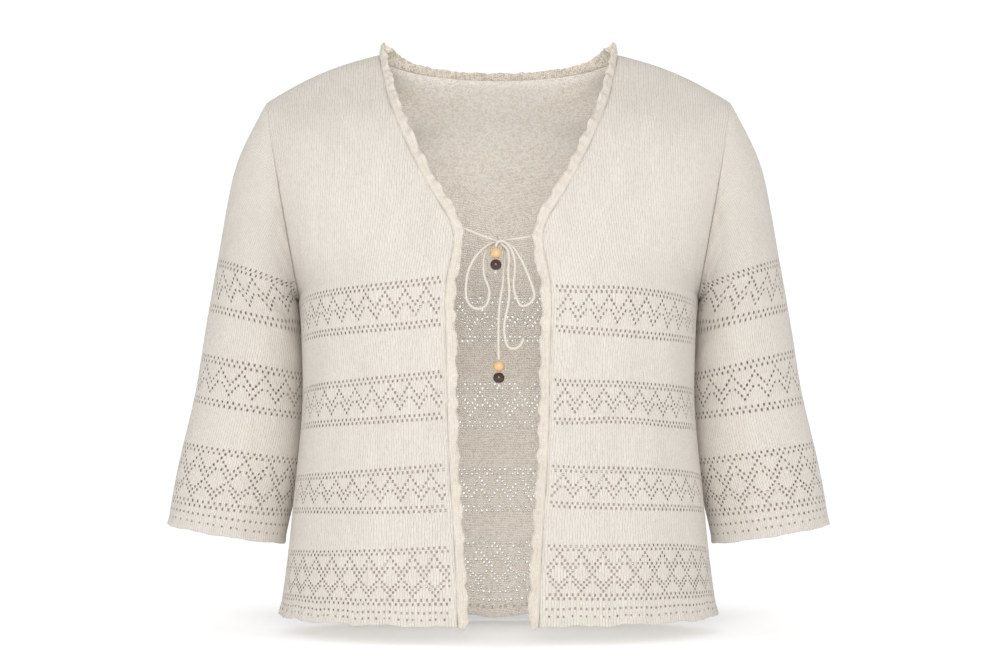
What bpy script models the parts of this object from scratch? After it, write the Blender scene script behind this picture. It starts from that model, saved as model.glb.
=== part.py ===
"""Tie-front cardigan in open lace knit, filled out as if worn; metres, +Z up.

The wearer faces -Y and the wearer's left is +X. The origin lies midway between the neck
ends of the two shoulder seams, where the shoulders carry the garment. Every piece that is
cut and sewn is a closed wall of cloth of its own, parted from its neighbours at the seams.
Walls are laid out as grids of points: rows go up the cloth and columns go across it.
"""

import math

import bmesh
import bpy
import numpy as np

for leftover in list(bpy.data.objects):
    bpy.data.objects.remove(leftover, do_unlink=True)

# ---- driving dimensions (m) ----
WALL = 0.0018                # thickness of the knit
SEAM_GAP = 0.0003            # parting line between two sewn pieces
NECK_X = 0.115               # neck point, half the width between the shoulder seams' neck ends
NECK_Z = 0.002
NECK_DEPTH = 0.060           # how far the back neck stands behind the neck points
NECK_DROP = 0.020            # how far the back neck dips below them
SHOULDER_BULGE = 0.003       # crown of the shoulder seam above a straight line
ARMHOLE_X = 0.1925           # underarm end of the armhole
ARMHOLE_FLARE = 0.0325       # how far the shoulder point stands outside the underarm
ARMHOLE_Y = 0.002
ARMHOLE_Z = -0.1398
ARMHOLE_DEPTH = 0.056        # half the armhole from front to back
ARMHOLE_HEIGHT = 0.0952      # half the armhole from top to bottom
ROW_PULL = 0.58              # roundness of a row of cloth round the body
NECK_SHARE = 0.45            # share of the half back's columns that end at the neck
HEM_WAVE = 0.0007            # unevenness of hem and cuffs
HEM_WAVE_LENGTH = 0.047
HEM_WAVE_REACH = 0.020
EDGING_WIDTH = 0.0095
EDGING_SCALLOP = 0.0008      # unevenness of the edging's free edge
EDGING_FLUTE = 0.0019        # depth of the edging's flutes
EDGING_FLUTE_LENGTH = 0.026
EDGING_HANG = 0.0035         # how far the edging's free corner hangs below the hem
EDGING_FLARE = 0.0016        # extra width where the edging flares just above the hem
EDGING_FLARE_REACH = 0.014
CORD_DIAMETER = 0.0026
BEAD_RADIUS = 0.0053
KNOT = (0.0003, -0.130, -0.1829)
KNOT_RADIUS = 0.0043         # middle of the cord that wraps the knot

# ---- grid sizes ----
ROWS_BELOW = 13              # rows of cells from hem to underarm
ROWS_ABOVE = 12              # rows of cells from underarm to shoulder
SHOULDER_COLUMNS = 9         # columns of cells along one shoulder seam
NECK_COLUMNS = 6             # columns of cells along half the back neck
RING_POINTS = 2 * ROWS_ABOVE
SLEEVE_ROWS = 15
EDGING_STEPS = 5             # edging cells beside each cell of a panel's edge
EDGING_ACROSS = (0.0, 0.5, 1.0)

KNIT_COLOUR = (0.83, 0.78, 0.70)
EDGING_COLOUR = (0.86, 0.80, 0.72)
CORD_COLOUR = (0.82, 0.76, 0.67)
PALE_WOOD_COLOUR = (0.80, 0.55, 0.30)
DARK_WOOD_COLOUR = (0.09, 0.035, 0.025)


def table(header, *rows):
    """Turn the rows of a short table into one array for each named column."""
    return {name: np.array(values) for name, values in zip(header.split(), zip(*rows))}


# Levels round the body: height up the cloth, front edge, side seam, middle of the back.
BODY = table(
    "rise edge_x edge_y edge_z side_x side_y side_z back_y back_z",
    (0.0000, 0.0375, -0.131, -0.5415, 0.2115, -0.004, -0.5395, 0.118, -0.5545),
    (0.0750, 0.0405, -0.128, -0.4665, 0.2030, -0.006, -0.4765, 0.108, -0.4800),
    (0.1455, 0.0450, -0.125, -0.3960, 0.1960, -0.010, -0.4090, 0.098, -0.4100),
    (0.2155, 0.0473, -0.125, -0.3260, 0.1895, -0.012, -0.3410, 0.094, -0.3410),
    (0.2755, 0.0485, -0.128, -0.2660, 0.1900, -0.010, -0.2840, 0.098, -0.2820),
    (0.3275, 0.0470, -0.130, -0.2140, 0.1925, 0.002, -0.2350, 0.104, -0.2300),
)
# Levels of the chest: the side ends on the armhole, at an angle from its top. A row with
# more wrap turns square to the front before it meets its end.
CHEST = table(
    "rise armhole_angle wrap edge_x edge_y edge_z back_y back_z",
    (0.3665, 150.0, 0.97, 0.0417, -0.128, -0.1750, 0.106, -0.190),
    (0.4060, 117.0, 0.88, 0.0588, -0.120, -0.1400, 0.106, -0.150),
    (0.4520, 84.0, 0.70, 0.0800, -0.106, -0.1020, 0.102, -0.112),
    (0.5010, 54.0, 0.42, 0.0980, -0.083, -0.0620, 0.094, -0.078),
    (0.5600, 26.0, 0.18, 0.1105, -0.042, -0.0220, 0.078, -0.045),
)
SHOULDER_RISE = 0.6085
UNDERARM_RISE = BODY["rise"][-1]
# Rings down the sleeve after the armhole: outer line, inner line, middle and depth.
SLEEVE = table(
    "outer_x outer_z inner_x inner_z middle_y depth",
    (0.2382, -0.0689, 0.1965, -0.2370, 0.004, 0.118),
    (0.2528, -0.0989, 0.1965, -0.2400, 0.010, 0.124),
    (0.2640, -0.1406, 0.1945, -0.2455, 0.018, 0.128),
    (0.2720, -0.1830, 0.1915, -0.2570, 0.025, 0.128),
    (0.2810, -0.2310, 0.1895, -0.2840, 0.029, 0.124),
    (0.2882, -0.2726, 0.1875, -0.3180, 0.030, 0.118),
    (0.2972, -0.3280, 0.1875, -0.3620, 0.029, 0.112),
    (0.3090, -0.3795, 0.1930, -0.4055, 0.024, 0.102),
    (0.3178, -0.4245, 0.2028, -0.4450, 0.018, 0.094),
    (0.3222, -0.4545, 0.2085, -0.4728, 0.014, 0.088),
)
# Soft folds: middle (across and up the cloth, m), length, spread, lean (degrees), height.
# On a sleeve, across is measured round it from its top and up is measured down from it.
FOLDS = table(
    "piece across up length spread lean height",
    ("left_front", 0.085, 0.060, 0.070, 0.018, 8.0, 0.0022),
    ("left_front", 0.125, 0.260, 0.060, 0.016, -28.0, 0.0018),
    ("left_front", 0.060, 0.450, 0.060, 0.014, -20.0, 0.0012),
    ("right_front", 0.070, 0.070, 0.080, 0.017, 4.0, 0.0020),
    ("right_front", 0.130, 0.235, 0.055, 0.015, -22.0, 0.0020),
    ("right_front", 0.065, 0.430, 0.070, 0.015, -16.0, 0.0013),
    ("back", 0.120, 0.110, 0.120, 0.022, -6.0, 0.0045),
    ("back", -0.090, 0.090, 0.110, 0.024, 8.0, 0.0050),
    ("back", 0.015, 0.070, 0.080, 0.020, 2.0, 0.0035),
    ("back", 0.110, 0.330, 0.060, 0.018, 40.0, 0.0025),
    ("back", -0.120, 0.320, 0.060, 0.018, -42.0, 0.0025),
    ("left_sleeve", 0.120, 0.190, 0.055, 0.014, 62.0, 0.0022),
    ("left_sleeve", 0.110, 0.245, 0.050, 0.013, 70.0, -0.0020),
    ("left_sleeve", 0.280, 0.215, 0.060, 0.016, -60.0, 0.0025),
    ("right_sleeve", 0.125, 0.180, 0.060, 0.014, 58.0, 0.0024),
    ("right_sleeve", 0.115, 0.240, 0.045, 0.012, 72.0, -0.0018),
    ("right_sleeve", 0.275, 0.225, 0.055, 0.017, -64.0, 0.0025),
)
NOMINAL_HALF_WIDTH = 0.21    # scales a fold's place across a front or half the back
NOMINAL_GIRTH = 0.38         # scales a fold's place round a sleeve

# Routes of the cords (m), from the seam behind the edging to the first bead.
RIGHT_TIE_ROUTE = (
    (-0.0385, -0.1232, -0.1690), (-0.0354, -0.1243, -0.1698), (-0.0300, -0.1272, -0.1716),
    (-0.0240, -0.1290, -0.1740), (-0.0120, -0.1312, -0.1789), (-0.0040, -0.1314, -0.1816),
    (0.0003, -0.1314, -0.1829), (0.0050, -0.1314, -0.1842), (0.0120, -0.1318, -0.1875),
    (0.0191, -0.1320, -0.1964), (0.0251, -0.1330, -0.2083), (0.0298, -0.1340, -0.2201),
    (0.0328, -0.1345, -0.2295), (0.0331, -0.1348, -0.2352), (0.0309, -0.1348, -0.2389),
    (0.0262, -0.1345, -0.2424), (0.0214, -0.1340, -0.2428), (0.0179, -0.1335, -0.2379),
    (0.0152, -0.1330, -0.2308), (0.0142, -0.1325, -0.2226), (0.0150, -0.1320, -0.2140),
    (0.0154, -0.1320, -0.2059), (0.0142, -0.1330, -0.1965), (0.0108, -0.1355, -0.1885),
    (0.0065, -0.1370, -0.1843), (0.0028, -0.1376, -0.1829), (-0.0008, -0.1376, -0.1845),
)
LEFT_TIE_ROUTE = (
    (0.0365, -0.1232, -0.1775), (0.0316, -0.1255, -0.1781), (0.0200, -0.1285, -0.1800),
    (0.0120, -0.1286, -0.1812), (0.0045, -0.1286, -0.1823), (0.0003, -0.1286, -0.1829),
    (-0.0045, -0.1286, -0.1840), (-0.0115, -0.1290, -0.1880), (-0.0187, -0.1318, -0.1945),
    (-0.0277, -0.1320, -0.2106), (-0.0300, -0.1320, -0.2272), (-0.0288, -0.1320, -0.2379),
    (-0.0235, -0.1318, -0.2444), (-0.0176, -0.1315, -0.2456), (-0.0117, -0.1312, -0.2426),
    (-0.0087, -0.1310, -0.2355), (-0.0087, -0.1308, -0.2272), (-0.0129, -0.1305, -0.2153),
    (-0.0135, -0.1300, -0.2059), (-0.0129, -0.1280, -0.1964), (-0.0093, -0.1255, -0.1893),
    (-0.0045, -0.1232, -0.1853), (0.0000, -0.1226, -0.1843), (0.0038, -0.1232, -0.1866),
    (0.0056, -0.1252, -0.1912), (0.0061, -0.1280, -0.1976), (0.0049, -0.1295, -0.2106),
    (0.0043, -0.1300, -0.2225), (0.0019, -0.1300, -0.2367), (0.0007, -0.1300, -0.2509),
    (0.0002, -0.1305, -0.2686), (0.0002, -0.1305, -0.2850),
)
KNOT_TIE_TAIL = (
    (0.0045, -0.1342, -0.1868), (0.0072, -0.1340, -0.1890), (0.0097, -0.1335, -0.1976),
    (0.0092, -0.1330, -0.2106), (0.0102, -0.1325, -0.2272), (0.0097, -0.1320, -0.2390),
    (0.0072, -0.1320, -0.2509), (0.0055, -0.1320, -0.2628), (0.0067, -0.1320, -0.2746),
    (0.0102, -0.1320, -0.2817), (0.0156, -0.1320, -0.2823), (0.0214, -0.1320, -0.2781),
    (0.0232, -0.1320, -0.2733),
)
KNOT_WRAP = (-170.0, 92.0)   # angle round the knot where its wrap starts and ends
KNOT_WRAP_WIDTH = 0.0028
# Beads: where the pale one hangs; the dark one hangs just below it.
RIGHT_BEADS = (-0.0022, -0.1374, -0.1940)
LEFT_BEADS = (0.0005, -0.1305, -0.2989)


MIRROR = np.array((-1.0, 1.0, 1.0))


# ---- curves and surfaces ----
def cubic_through(knots, values, at, end_slope=None):
    """Natural cubic spline through each point of an array, with its last slope if given."""
    count = len(knots)
    step = np.diff(knots)
    flat = values.reshape(count, -1)
    chord = np.diff(flat, axis=0) / step[:, None]
    matrix = np.zeros((count, count))
    right = np.zeros_like(flat)
    matrix[0, 0] = 1.0
    for i in range(1, count - 1):
        matrix[i, i - 1:i + 2] = step[i - 1], 2 * (step[i - 1] + step[i]), step[i]
        right[i] = 6 * (chord[i] - chord[i - 1])
    if end_slope is None:
        matrix[-1, -1] = 1.0
    else:
        matrix[-1, -2:] = step[-1], 2 * step[-1]
        right[-1] = 6 * (end_slope.reshape(-1) - chord[-1])
    bend = np.linalg.solve(matrix, right)
    i = np.clip(np.searchsorted(knots, at) - 1, 0, count - 2)
    t = (at - knots[i])[:, None]
    h = step[i][:, None]
    out = flat[i] + t * (chord[i] - h * (2 * bend[i] + bend[i + 1]) / 6)
    out += t ** 2 * bend[i] / 2 + t ** 3 * (bend[i + 1] - bend[i]) / (6 * h)
    return out.reshape((len(at),) + values.shape[1:])


def unit(vectors):
    """Scale an array of vectors to length 1."""
    return vectors / np.linalg.norm(vectors, axis=-1, keepdims=True)


def smooth_step(values):
    """Ease from 0 to 1."""
    values = np.clip(values, 0.0, 1.0)
    return values * values * (3 - 2 * values)


def armhole_point(angle):
    """Point of the armhole, at an angle in degrees from its top, towards the front first."""
    turn = np.radians(angle)
    rise = (1 + np.cos(turn)) / 2
    return np.stack((ARMHOLE_X + ARMHOLE_FLARE * rise ** 1.1,
                     ARMHOLE_Y - ARMHOLE_DEPTH * np.sin(turn),
                     ARMHOLE_Z + ARMHOLE_HEIGHT * np.cos(turn)), axis=-1)


def shoulder_line(share):
    """Points of the shoulder seam, from its neck end to its armhole end."""
    start = np.array((NECK_X, 0.0, NECK_Z))
    end = armhole_point(0.0)
    points = start + np.outer(share, end - start)
    points[:, 2] += SHOULDER_BULGE * np.sin(np.pi * share)
    return points


def neck_line(share):
    """Points of the back neck, from its middle to the neck point."""
    turn = share * math.pi / 2
    z = NECK_Z - NECK_DROP * np.cos(turn)
    return np.stack((NECK_X * np.sin(turn), NECK_DEPTH * np.cos(turn), z), axis=-1)


def body_row(start, end, wrap, shares):
    """One row round the body, leaving its start squarely, read at shares of its length."""
    reach = end - start
    bend_out = start + ROW_PULL * reach * (1, 0, 1)
    bend_in = end - ROW_PULL * reach * (1 - wrap, 1, 1)
    t = np.linspace(0, 1, 201)[:, None]
    curve = ((1 - t) ** 3 * start + 3 * t * (1 - t) ** 2 * bend_out
             + 3 * t ** 2 * (1 - t) * bend_in + t ** 3 * end)
    length = np.append(0, np.cumsum(np.linalg.norm(np.diff(curve, axis=0), axis=1)))
    return np.stack([np.interp(shares * length[-1], length, curve[:, k]) for k in range(3)], 1)


def level_rises():
    """Heights up the cloth of all the levels in the two tables and the shoulder seam."""
    return np.concatenate((BODY["rise"], CHEST["rise"], (SHOULDER_RISE,)))


def armhole_rise(angle):
    """Height up the cloth at which a row ends at an angle of the armhole."""
    knots = np.concatenate(((0.0,), 180 - CHEST["armhole_angle"], (180.0,)))
    rises = np.concatenate(((UNDERARM_RISE,), CHEST["rise"], (SHOULDER_RISE,)))
    return cubic_through(knots, rises, 180 - angle)


def side_points(rises):
    """Side seam points up to the underarm, then points of the front half of the armhole."""
    seam = np.stack([BODY["side_" + axis] for axis in "xyz"], axis=-1)
    points = cubic_through(BODY["rise"], seam, np.minimum(rises, UNDERARM_RISE))
    angles = np.linspace(180, 0, 361)
    above = rises > UNDERARM_RISE
    points[above] = armhole_point(np.interp(rises[above], armhole_rise(angles), angles))
    return points


def body_sheet(rises, shares, is_back):
    """Surface of the left front or of the left half of the back, as rows of points."""
    body_ends = np.stack([BODY["side_" + axis] for axis in "xyz"], axis=-1)
    chest_ends = armhole_point(CHEST["armhole_angle"])
    ends = np.concatenate((body_ends, chest_ends))
    wraps = np.concatenate((np.ones(len(body_ends)), CHEST["wrap"]))
    if is_back:
        ends[:, 1] = np.where(wraps < 1, 2 * ARMHOLE_Y - ends[:, 1], ends[:, 1])
        starts = [np.concatenate((BODY[k], CHEST[k])) for k in ("back_y", "back_z")]
        starts = np.stack((np.zeros(len(ends)), *starts), axis=-1)
        neck = shares < NECK_SHARE
        top = shoulder_line((shares - NECK_SHARE) / (1 - NECK_SHARE))
        top[neck] = neck_line(shares[neck] / NECK_SHARE)
        lean = np.clip(shares / NECK_SHARE, 0, 1)[:, None] ** 2
        toward = unit((1 - lean) * (0, -0.45, 0.9) + lean * (0, -1.0, 0))
    else:
        starts = [np.concatenate((BODY["edge_" + k], CHEST["edge_" + k])) for k in "xyz"]
        starts = np.stack(starts, axis=-1)
        top = shoulder_line(shares)
        toward = np.tile((0.0, 1.0, 0.0), (len(shares), 1))
    rows = [body_row(*ends_and_wrap, shares) for ends_and_wrap in zip(starts, ends, wraps)]
    rows = np.array(rows + [top])
    last_chord = np.linalg.norm(rows[-1] - rows[-2], axis=-1, keepdims=True)
    slope = 1.1 * toward * last_chord / (SHOULDER_RISE - CHEST["rise"][-1])
    sheet = cubic_through(level_rises(), rows, rises, slope)
    side = side_points(rises)
    if is_back:
        above = rises > UNDERARM_RISE
        side[above, 1] = 2 * ARMHOLE_Y - side[above, 1]
    return sheet + (side - sheet[:, -1])[:, None] * shares[None, :, None] ** 3


def sleeve_sheet(shares_along, angles):
    """Surface of the left sleeve: a row for each ring, from the armhole to the cuff."""
    outer = np.stack((SLEEVE["outer_x"], SLEEVE["outer_z"]), axis=-1)
    inner = np.stack((SLEEVE["inner_x"], SLEEVE["inner_z"]), axis=-1)
    turn = np.radians(angles)
    middle = (outer + inner)[:, None] / 2
    across = (outer - inner)[:, None] / 2 * np.cos(turn)[None, :, None]
    y = SLEEVE["middle_y"][:, None] - SLEEVE["depth"][:, None] / 2 * np.sin(turn)
    rings = np.stack(((middle + across)[..., 0], y, (middle + across)[..., 1]), axis=-1)
    rings = np.concatenate((armhole_point(angles)[None], rings))
    outer_line = np.concatenate((armhole_point(0.0)[None, ::2], outer))
    along = np.append(0, np.cumsum(np.linalg.norm(np.diff(outer_line, axis=0), axis=1)))
    return cubic_through(along, rings, shares_along * along[-1]), along[-1]


def sheet_normals(sheet, closed=False):
    """Unit normals of a grid of points: columns crossed with rows."""
    if closed:
        across = np.roll(sheet, -1, axis=1) - np.roll(sheet, 1, axis=1)
    else:
        across = np.gradient(sheet, axis=1)
    return unit(np.cross(across, np.gradient(sheet, axis=0)))


def folds_of(piece, across, up):
    """Height of a piece's soft folds at places across and up its cloth."""
    height = np.zeros(np.broadcast(across, up).shape)
    for k in np.flatnonzero(FOLDS["piece"] == piece):
        lean = math.radians(FOLDS["lean"][k])
        dx = across - FOLDS["across"][k]
        dz = up - FOLDS["up"][k]
        beside = dx * math.cos(lean) - dz * math.sin(lean)
        beyond = dx * math.sin(lean) + dz * math.cos(lean)
        shape = np.exp(-(beside / FOLDS["spread"][k]) ** 2 - (beyond / FOLDS["length"][k]) ** 2)
        height += FOLDS["height"][k] * shape
    return height


def hem_wave(across, up, phase):
    """How far an uneven hem or cuff hangs down, fading up the cloth."""
    wave = np.sin(across * 2 * math.pi / HEM_WAVE_LENGTH + phase)
    wave = wave + 0.6 * np.sin(across * 2 * math.pi / (0.43 * HEM_WAVE_LENGTH) + 2 * phase)
    return HEM_WAVE * wave * np.exp(-up / HEM_WAVE_REACH)


def soften_panel(sheet, normals, piece, shares, rises, phase):
    """Lay a body panel's folds and its uneven hem into its sheet, still at its edges."""
    across = (shares * NOMINAL_HALF_WIDTH)[None, :]
    up = rises[:, None]
    edge = smooth_step((1 - np.abs(shares)) / 0.15)
    if piece != "back":
        edge = edge * smooth_step(shares / 0.15)
    top = smooth_step((SHOULDER_RISE - rises) / 0.06)
    height = folds_of(piece, across, up) * top[:, None] * edge
    sheet = sheet + normals * height[..., None]
    sheet[..., 2] -= hem_wave(across, up, phase) * edge
    return sheet


def soften_sleeve(sheet, normals, piece, angles, along, phase):
    """Lay a sleeve's folds and its uneven cuff into its sheet, still at the armhole."""
    around = (angles / 360 * NOMINAL_GIRTH)[None, :]
    down = along[:, None]
    window = smooth_step(down / 0.05) * smooth_step((along[-1] - down) / 0.05)
    sheet = sheet + normals * (folds_of(piece, around, down) * window)[..., None]
    sheet[..., 2] -= hem_wave(around, along[-1] - down, phase)
    return sheet


# ---- building in Blender ----
def finish(name, colour, roughness):
    """A Principled material with a plain colour."""
    material = bpy.data.materials.new(name)
    material.use_nodes = True
    shader = material.node_tree.nodes["Principled BSDF"]
    shader.inputs["Base Color"].default_value = (*colour, 1.0)
    shader.inputs["Roughness"].default_value = roughness
    shader.inputs["Metallic"].default_value = 0.0
    return material


def add_object(name, data, colour, roughness=0.9):
    """Link a mesh or a curve into the scene under its node's name."""
    item = bpy.data.objects.new(name, data)
    data.materials.append(finish(name + "_finish", colour, roughness))
    bpy.context.scene.collection.objects.link(item)
    return item


def wall_faces(rows, columns, closed):
    """Quads of a closed wall: two skins of a grid and the rims that join them."""
    def corner(skin, row, column):
        return skin * rows * columns + row * columns + column % columns

    last = columns if closed else columns - 1
    faces = []
    for column in range(last):
        for row in range(rows - 1):
            for skin in (0, 1):
                faces.append((corner(skin, row, column), corner(skin, row, column + 1),
                              corner(skin, row + 1, column + 1), corner(skin, row + 1, column)))
        for row in (0, rows - 1):
            faces.append((corner(0, row, column), corner(0, row, column + 1),
                          corner(1, row, column + 1), corner(1, row, column)))
    if not closed:
        for row in range(rows - 1):
            for column in (0, columns - 1):
                faces.append((corner(0, row, column), corner(0, row + 1, column),
                              corner(1, row + 1, column), corner(1, row, column)))
    return faces


def add_wall(name, outer, inner, colour, closed=False):
    """A closed wall of cloth between an outer and an inner grid of points."""
    rows, columns = outer.shape[:2]
    points = np.concatenate((outer.reshape(-1, 3), inner.reshape(-1, 3)))
    mesh = bpy.data.meshes.new(name)
    mesh.from_pydata(points.tolist(), [], wall_faces(rows, columns, closed))
    shape = bmesh.new()
    shape.from_mesh(mesh)
    bmesh.ops.recalc_face_normals(shape, faces=shape.faces)
    # Each cell splits along its shorter diagonal, so that two rims at a seam split alike.
    bmesh.ops.triangulate(shape, faces=shape.faces, quad_method="SHORT_EDGE")
    shape.to_mesh(mesh)
    shape.free()
    mesh.shade_smooth()
    return add_object(name, mesh, colour)


def add_cord(name, points):
    """A tube of cord through a list of points."""
    curve = bpy.data.curves.new(name, "CURVE")
    curve.dimensions = "3D"
    curve.twist_mode = "MINIMUM"
    curve.bevel_depth = CORD_DIAMETER / 2
    curve.bevel_resolution = 2
    curve.use_fill_caps = True
    spline = curve.splines.new("POLY")
    spline.points.add(len(points) - 1)
    for target, point in zip(spline.points, points):
        target.co = (*point, 1.0)
    return add_object(name, curve, CORD_COLOUR)


def add_bead(name, place, colour):
    """A round wooden bead."""
    mesh = bpy.data.meshes.new(name)
    shape = bmesh.new()
    bmesh.ops.create_uvsphere(shape, u_segments=14, v_segments=9, radius=BEAD_RADIUS)
    shape.to_mesh(mesh)
    shape.free()
    mesh.shade_smooth()
    add_object(name, mesh, colour, roughness=0.3).location = place


# ---- seams ----
def seam_groups():
    """Grid places of front, half back and sleeve that meet at one point of a seam."""
    groups = [(("front", (row, -1)), ("back", (row, -1))) for row in range(ROWS_BELOW)]
    groups += [(("front", (-1, column)), ("back", (-1, NECK_COLUMNS + column)))
               for column in range(SHOULDER_COLUMNS)]
    for ring in range(1, ROWS_ABOVE):
        groups.append((("front", (-1 - ring, -1)), ("sleeve", (0, ring))))
        groups.append((("back", (-1 - ring, -1)), ("sleeve", (0, -ring))))
    for row, ring in ((ROWS_BELOW, ROWS_ABOVE), (-1, 0)):
        groups.append((("front", (row, -1)), ("back", (row, -1)), ("sleeve", (0, ring))))
    return groups


def share_normals(normals):
    """Give all the pieces that meet at a point of a seam one normal between them."""
    for group in seam_groups():
        shared = unit(sum(normals[piece][place] for piece, place in group))
        for piece, place in group:
            normals[piece][place] = shared


def pull_in(points, normals, turn):
    """Steps that move the points of an edge half a seam gap into their own piece."""
    run = np.diff(points, axis=0)
    inward = unit(turn * np.cross(normals[1:] + normals[:-1], run))
    before = np.concatenate((inward[:1], inward))
    after = np.concatenate((inward, inward[-1:]))
    spread = 1 + np.sum(before * after, axis=1, keepdims=True)
    return SEAM_GAP / 2 * (before + after) / spread


def part_panel(grids, normal, neck_column, turn):
    """Part one panel from its side seam, armhole and shoulder seam."""
    rows, columns = normal.shape[:2]
    path_rows = np.append(np.arange(rows), np.full(columns - 1 - neck_column, rows - 1))
    path_columns = np.append(np.full(rows, columns - 1),
                             np.arange(columns - 2, neck_column - 1, -1))
    path = (path_rows, path_columns)
    steps = pull_in(grids[0][path], normal[path], turn)
    for grid in grids:
        grid[path] += steps


def part_sleeve(grids, normal):
    """Part a sleeve from the armhole."""
    ring = grids[0][0]
    run = np.roll(ring, -1, axis=0) - np.roll(ring, 1, axis=0)
    steps = SEAM_GAP / 2 * unit(np.cross(normal[0], run))
    for grid in grids:
        grid[0] += steps


# ---- the body and its sleeves ----
def body_rises():
    """Heights of the rows of a body panel: even below the underarm, then by armhole angle."""
    below = np.linspace(0, UNDERARM_RISE, ROWS_BELOW + 1)[:-1]
    return np.concatenate((below, armhole_rise(np.linspace(180, 0, ROWS_ABOVE + 1))))


def front_grid(word):
    """Left-hand form of a front."""
    rises = body_rises()
    shares = np.linspace(0, 1, SHOULDER_COLUMNS + 1)
    sheet = body_sheet(rises, shares, is_back=False)
    phase = 0.7 if word == "left" else 2.9
    return soften_panel(sheet, sheet_normals(sheet), word + "_front", shares, rises, phase)


def back_grid():
    """The whole back, from the wearer's right to the wearer's left."""
    rises = body_rises()
    shoulder = NECK_SHARE + (1 - NECK_SHARE) * np.linspace(0, 1, SHOULDER_COLUMNS + 1)
    shares = np.append(np.linspace(0, NECK_SHARE, NECK_COLUMNS + 1)[:-1], shoulder)
    half = body_sheet(rises, shares, is_back=True)
    sheet = np.concatenate((half[:, :0:-1] * MIRROR, half), axis=1)
    shares = np.concatenate((-shares[:0:-1], shares))
    return soften_panel(sheet, -sheet_normals(sheet), "back", shares, rises, 2.0)


def sleeve_grid(word):
    """Left-hand form of a sleeve."""
    angles = np.linspace(0, 360, RING_POINTS, endpoint=False)
    shares = np.linspace(0, 1, SLEEVE_ROWS + 1)
    sheet, length = sleeve_sheet(shares, angles)
    normals = sheet_normals(sheet, closed=True)
    phase = 1.3 if word == "left" else 3.4
    return soften_sleeve(sheet, normals, word + "_sleeve", angles, shares * length, phase)


def build_body():
    """Build the back, fronts and sleeves, and return the edge that the edging is sewn to."""
    back = back_grid()
    back_normals = -sheet_normals(back)
    middle = back.shape[1] // 2
    edges = {}
    for word, mirror in (("left", 1), ("right", MIRROR)):
        half = slice(middle, None) if word == "left" else slice(middle, None, -1)
        outer = {"front": front_grid(word), "sleeve": sleeve_grid(word)}
        normals = {"front": sheet_normals(outer["front"]),
                   "sleeve": sheet_normals(outer["sleeve"], closed=True),
                   "back": back_normals[:, half] * mirror}
        share_normals(normals)
        back_normals[:, half] = normals["back"] * mirror
        edges[word] = (outer["front"][:, 0] * mirror, normals["front"][:, 0] * mirror)
        inner = {piece: outer[piece] - WALL * normals[piece] for piece in outer}
        part_panel((outer["front"], inner["front"]), normals["front"], 0, turn=1)
        part_sleeve((outer["sleeve"], inner["sleeve"]), normals["sleeve"])
        for piece, closed in (("front", False), ("sleeve", True)):
            add_wall(f"{word}_{piece}", outer[piece] * mirror, inner[piece] * mirror,
                     KNIT_COLOUR, closed)
    inner = back - WALL * back_normals
    neck = slice(middle + NECK_COLUMNS, middle - NECK_COLUMNS - 1, -1)
    edges["neck"] = (back[-1, neck].copy(), back_normals[-1, neck])
    for mirror, half in ((1, slice(middle, None)), (MIRROR, slice(middle, None, -1))):
        halves = [grid[:, half] * mirror for grid in (back, inner)]
        part_panel(halves, back_normals[:, half] * mirror, NECK_COLUMNS, turn=-1)
        for grid, changed in zip((back, inner), halves):
            grid[:, half] = changed * mirror
    add_wall("back_panel", back, inner, KNIT_COLOUR)
    return edges


# ---- the edging ----
def edging_path(edges):
    """Points and normals of the whole edge, up the left front, round the neck and down."""
    left, neck, right = edges["left"], edges["neck"], edges["right"]
    return [np.concatenate((left[k], neck[k][1:-1], right[k][::-1])) for k in range(2)]


def between(values, steps):
    """Add evenly spaced rows between the rows of an array."""
    places = np.linspace(0, len(values) - 1, (len(values) - 1) * steps + 1)
    i = np.minimum(places.astype(int), len(values) - 2)
    t = (places - i)[:, None]
    return values[i] * (1 - t) + values[i + 1] * t


def edging_lift():
    """Angle at which the edging stands off the cloth, at each point of the path."""
    front = np.interp(body_rises(), (0, 0.30, 0.45, 0.56, SHOULDER_RISE), (0, 3, 10, 22, 35))
    neck = 5 + 30 * np.abs(np.linspace(-1, 1, 2 * NECK_COLUMNS + 1)) ** 1.5
    return np.radians(np.concatenate((front, neck[1:-1], front[::-1])))


def flute(along):
    """Height of the edging's flutes along its run, a little uneven."""
    uneven = along + 0.004 * np.sin(along * 2 * math.pi / 0.093)
    size = 0.8 + 0.2 * np.sin(along * 2 * math.pi / 0.17 + 1.0)
    return EDGING_FLUTE * size * np.cos(uneven * 2 * math.pi / EDGING_FLUTE_LENGTH)


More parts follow.
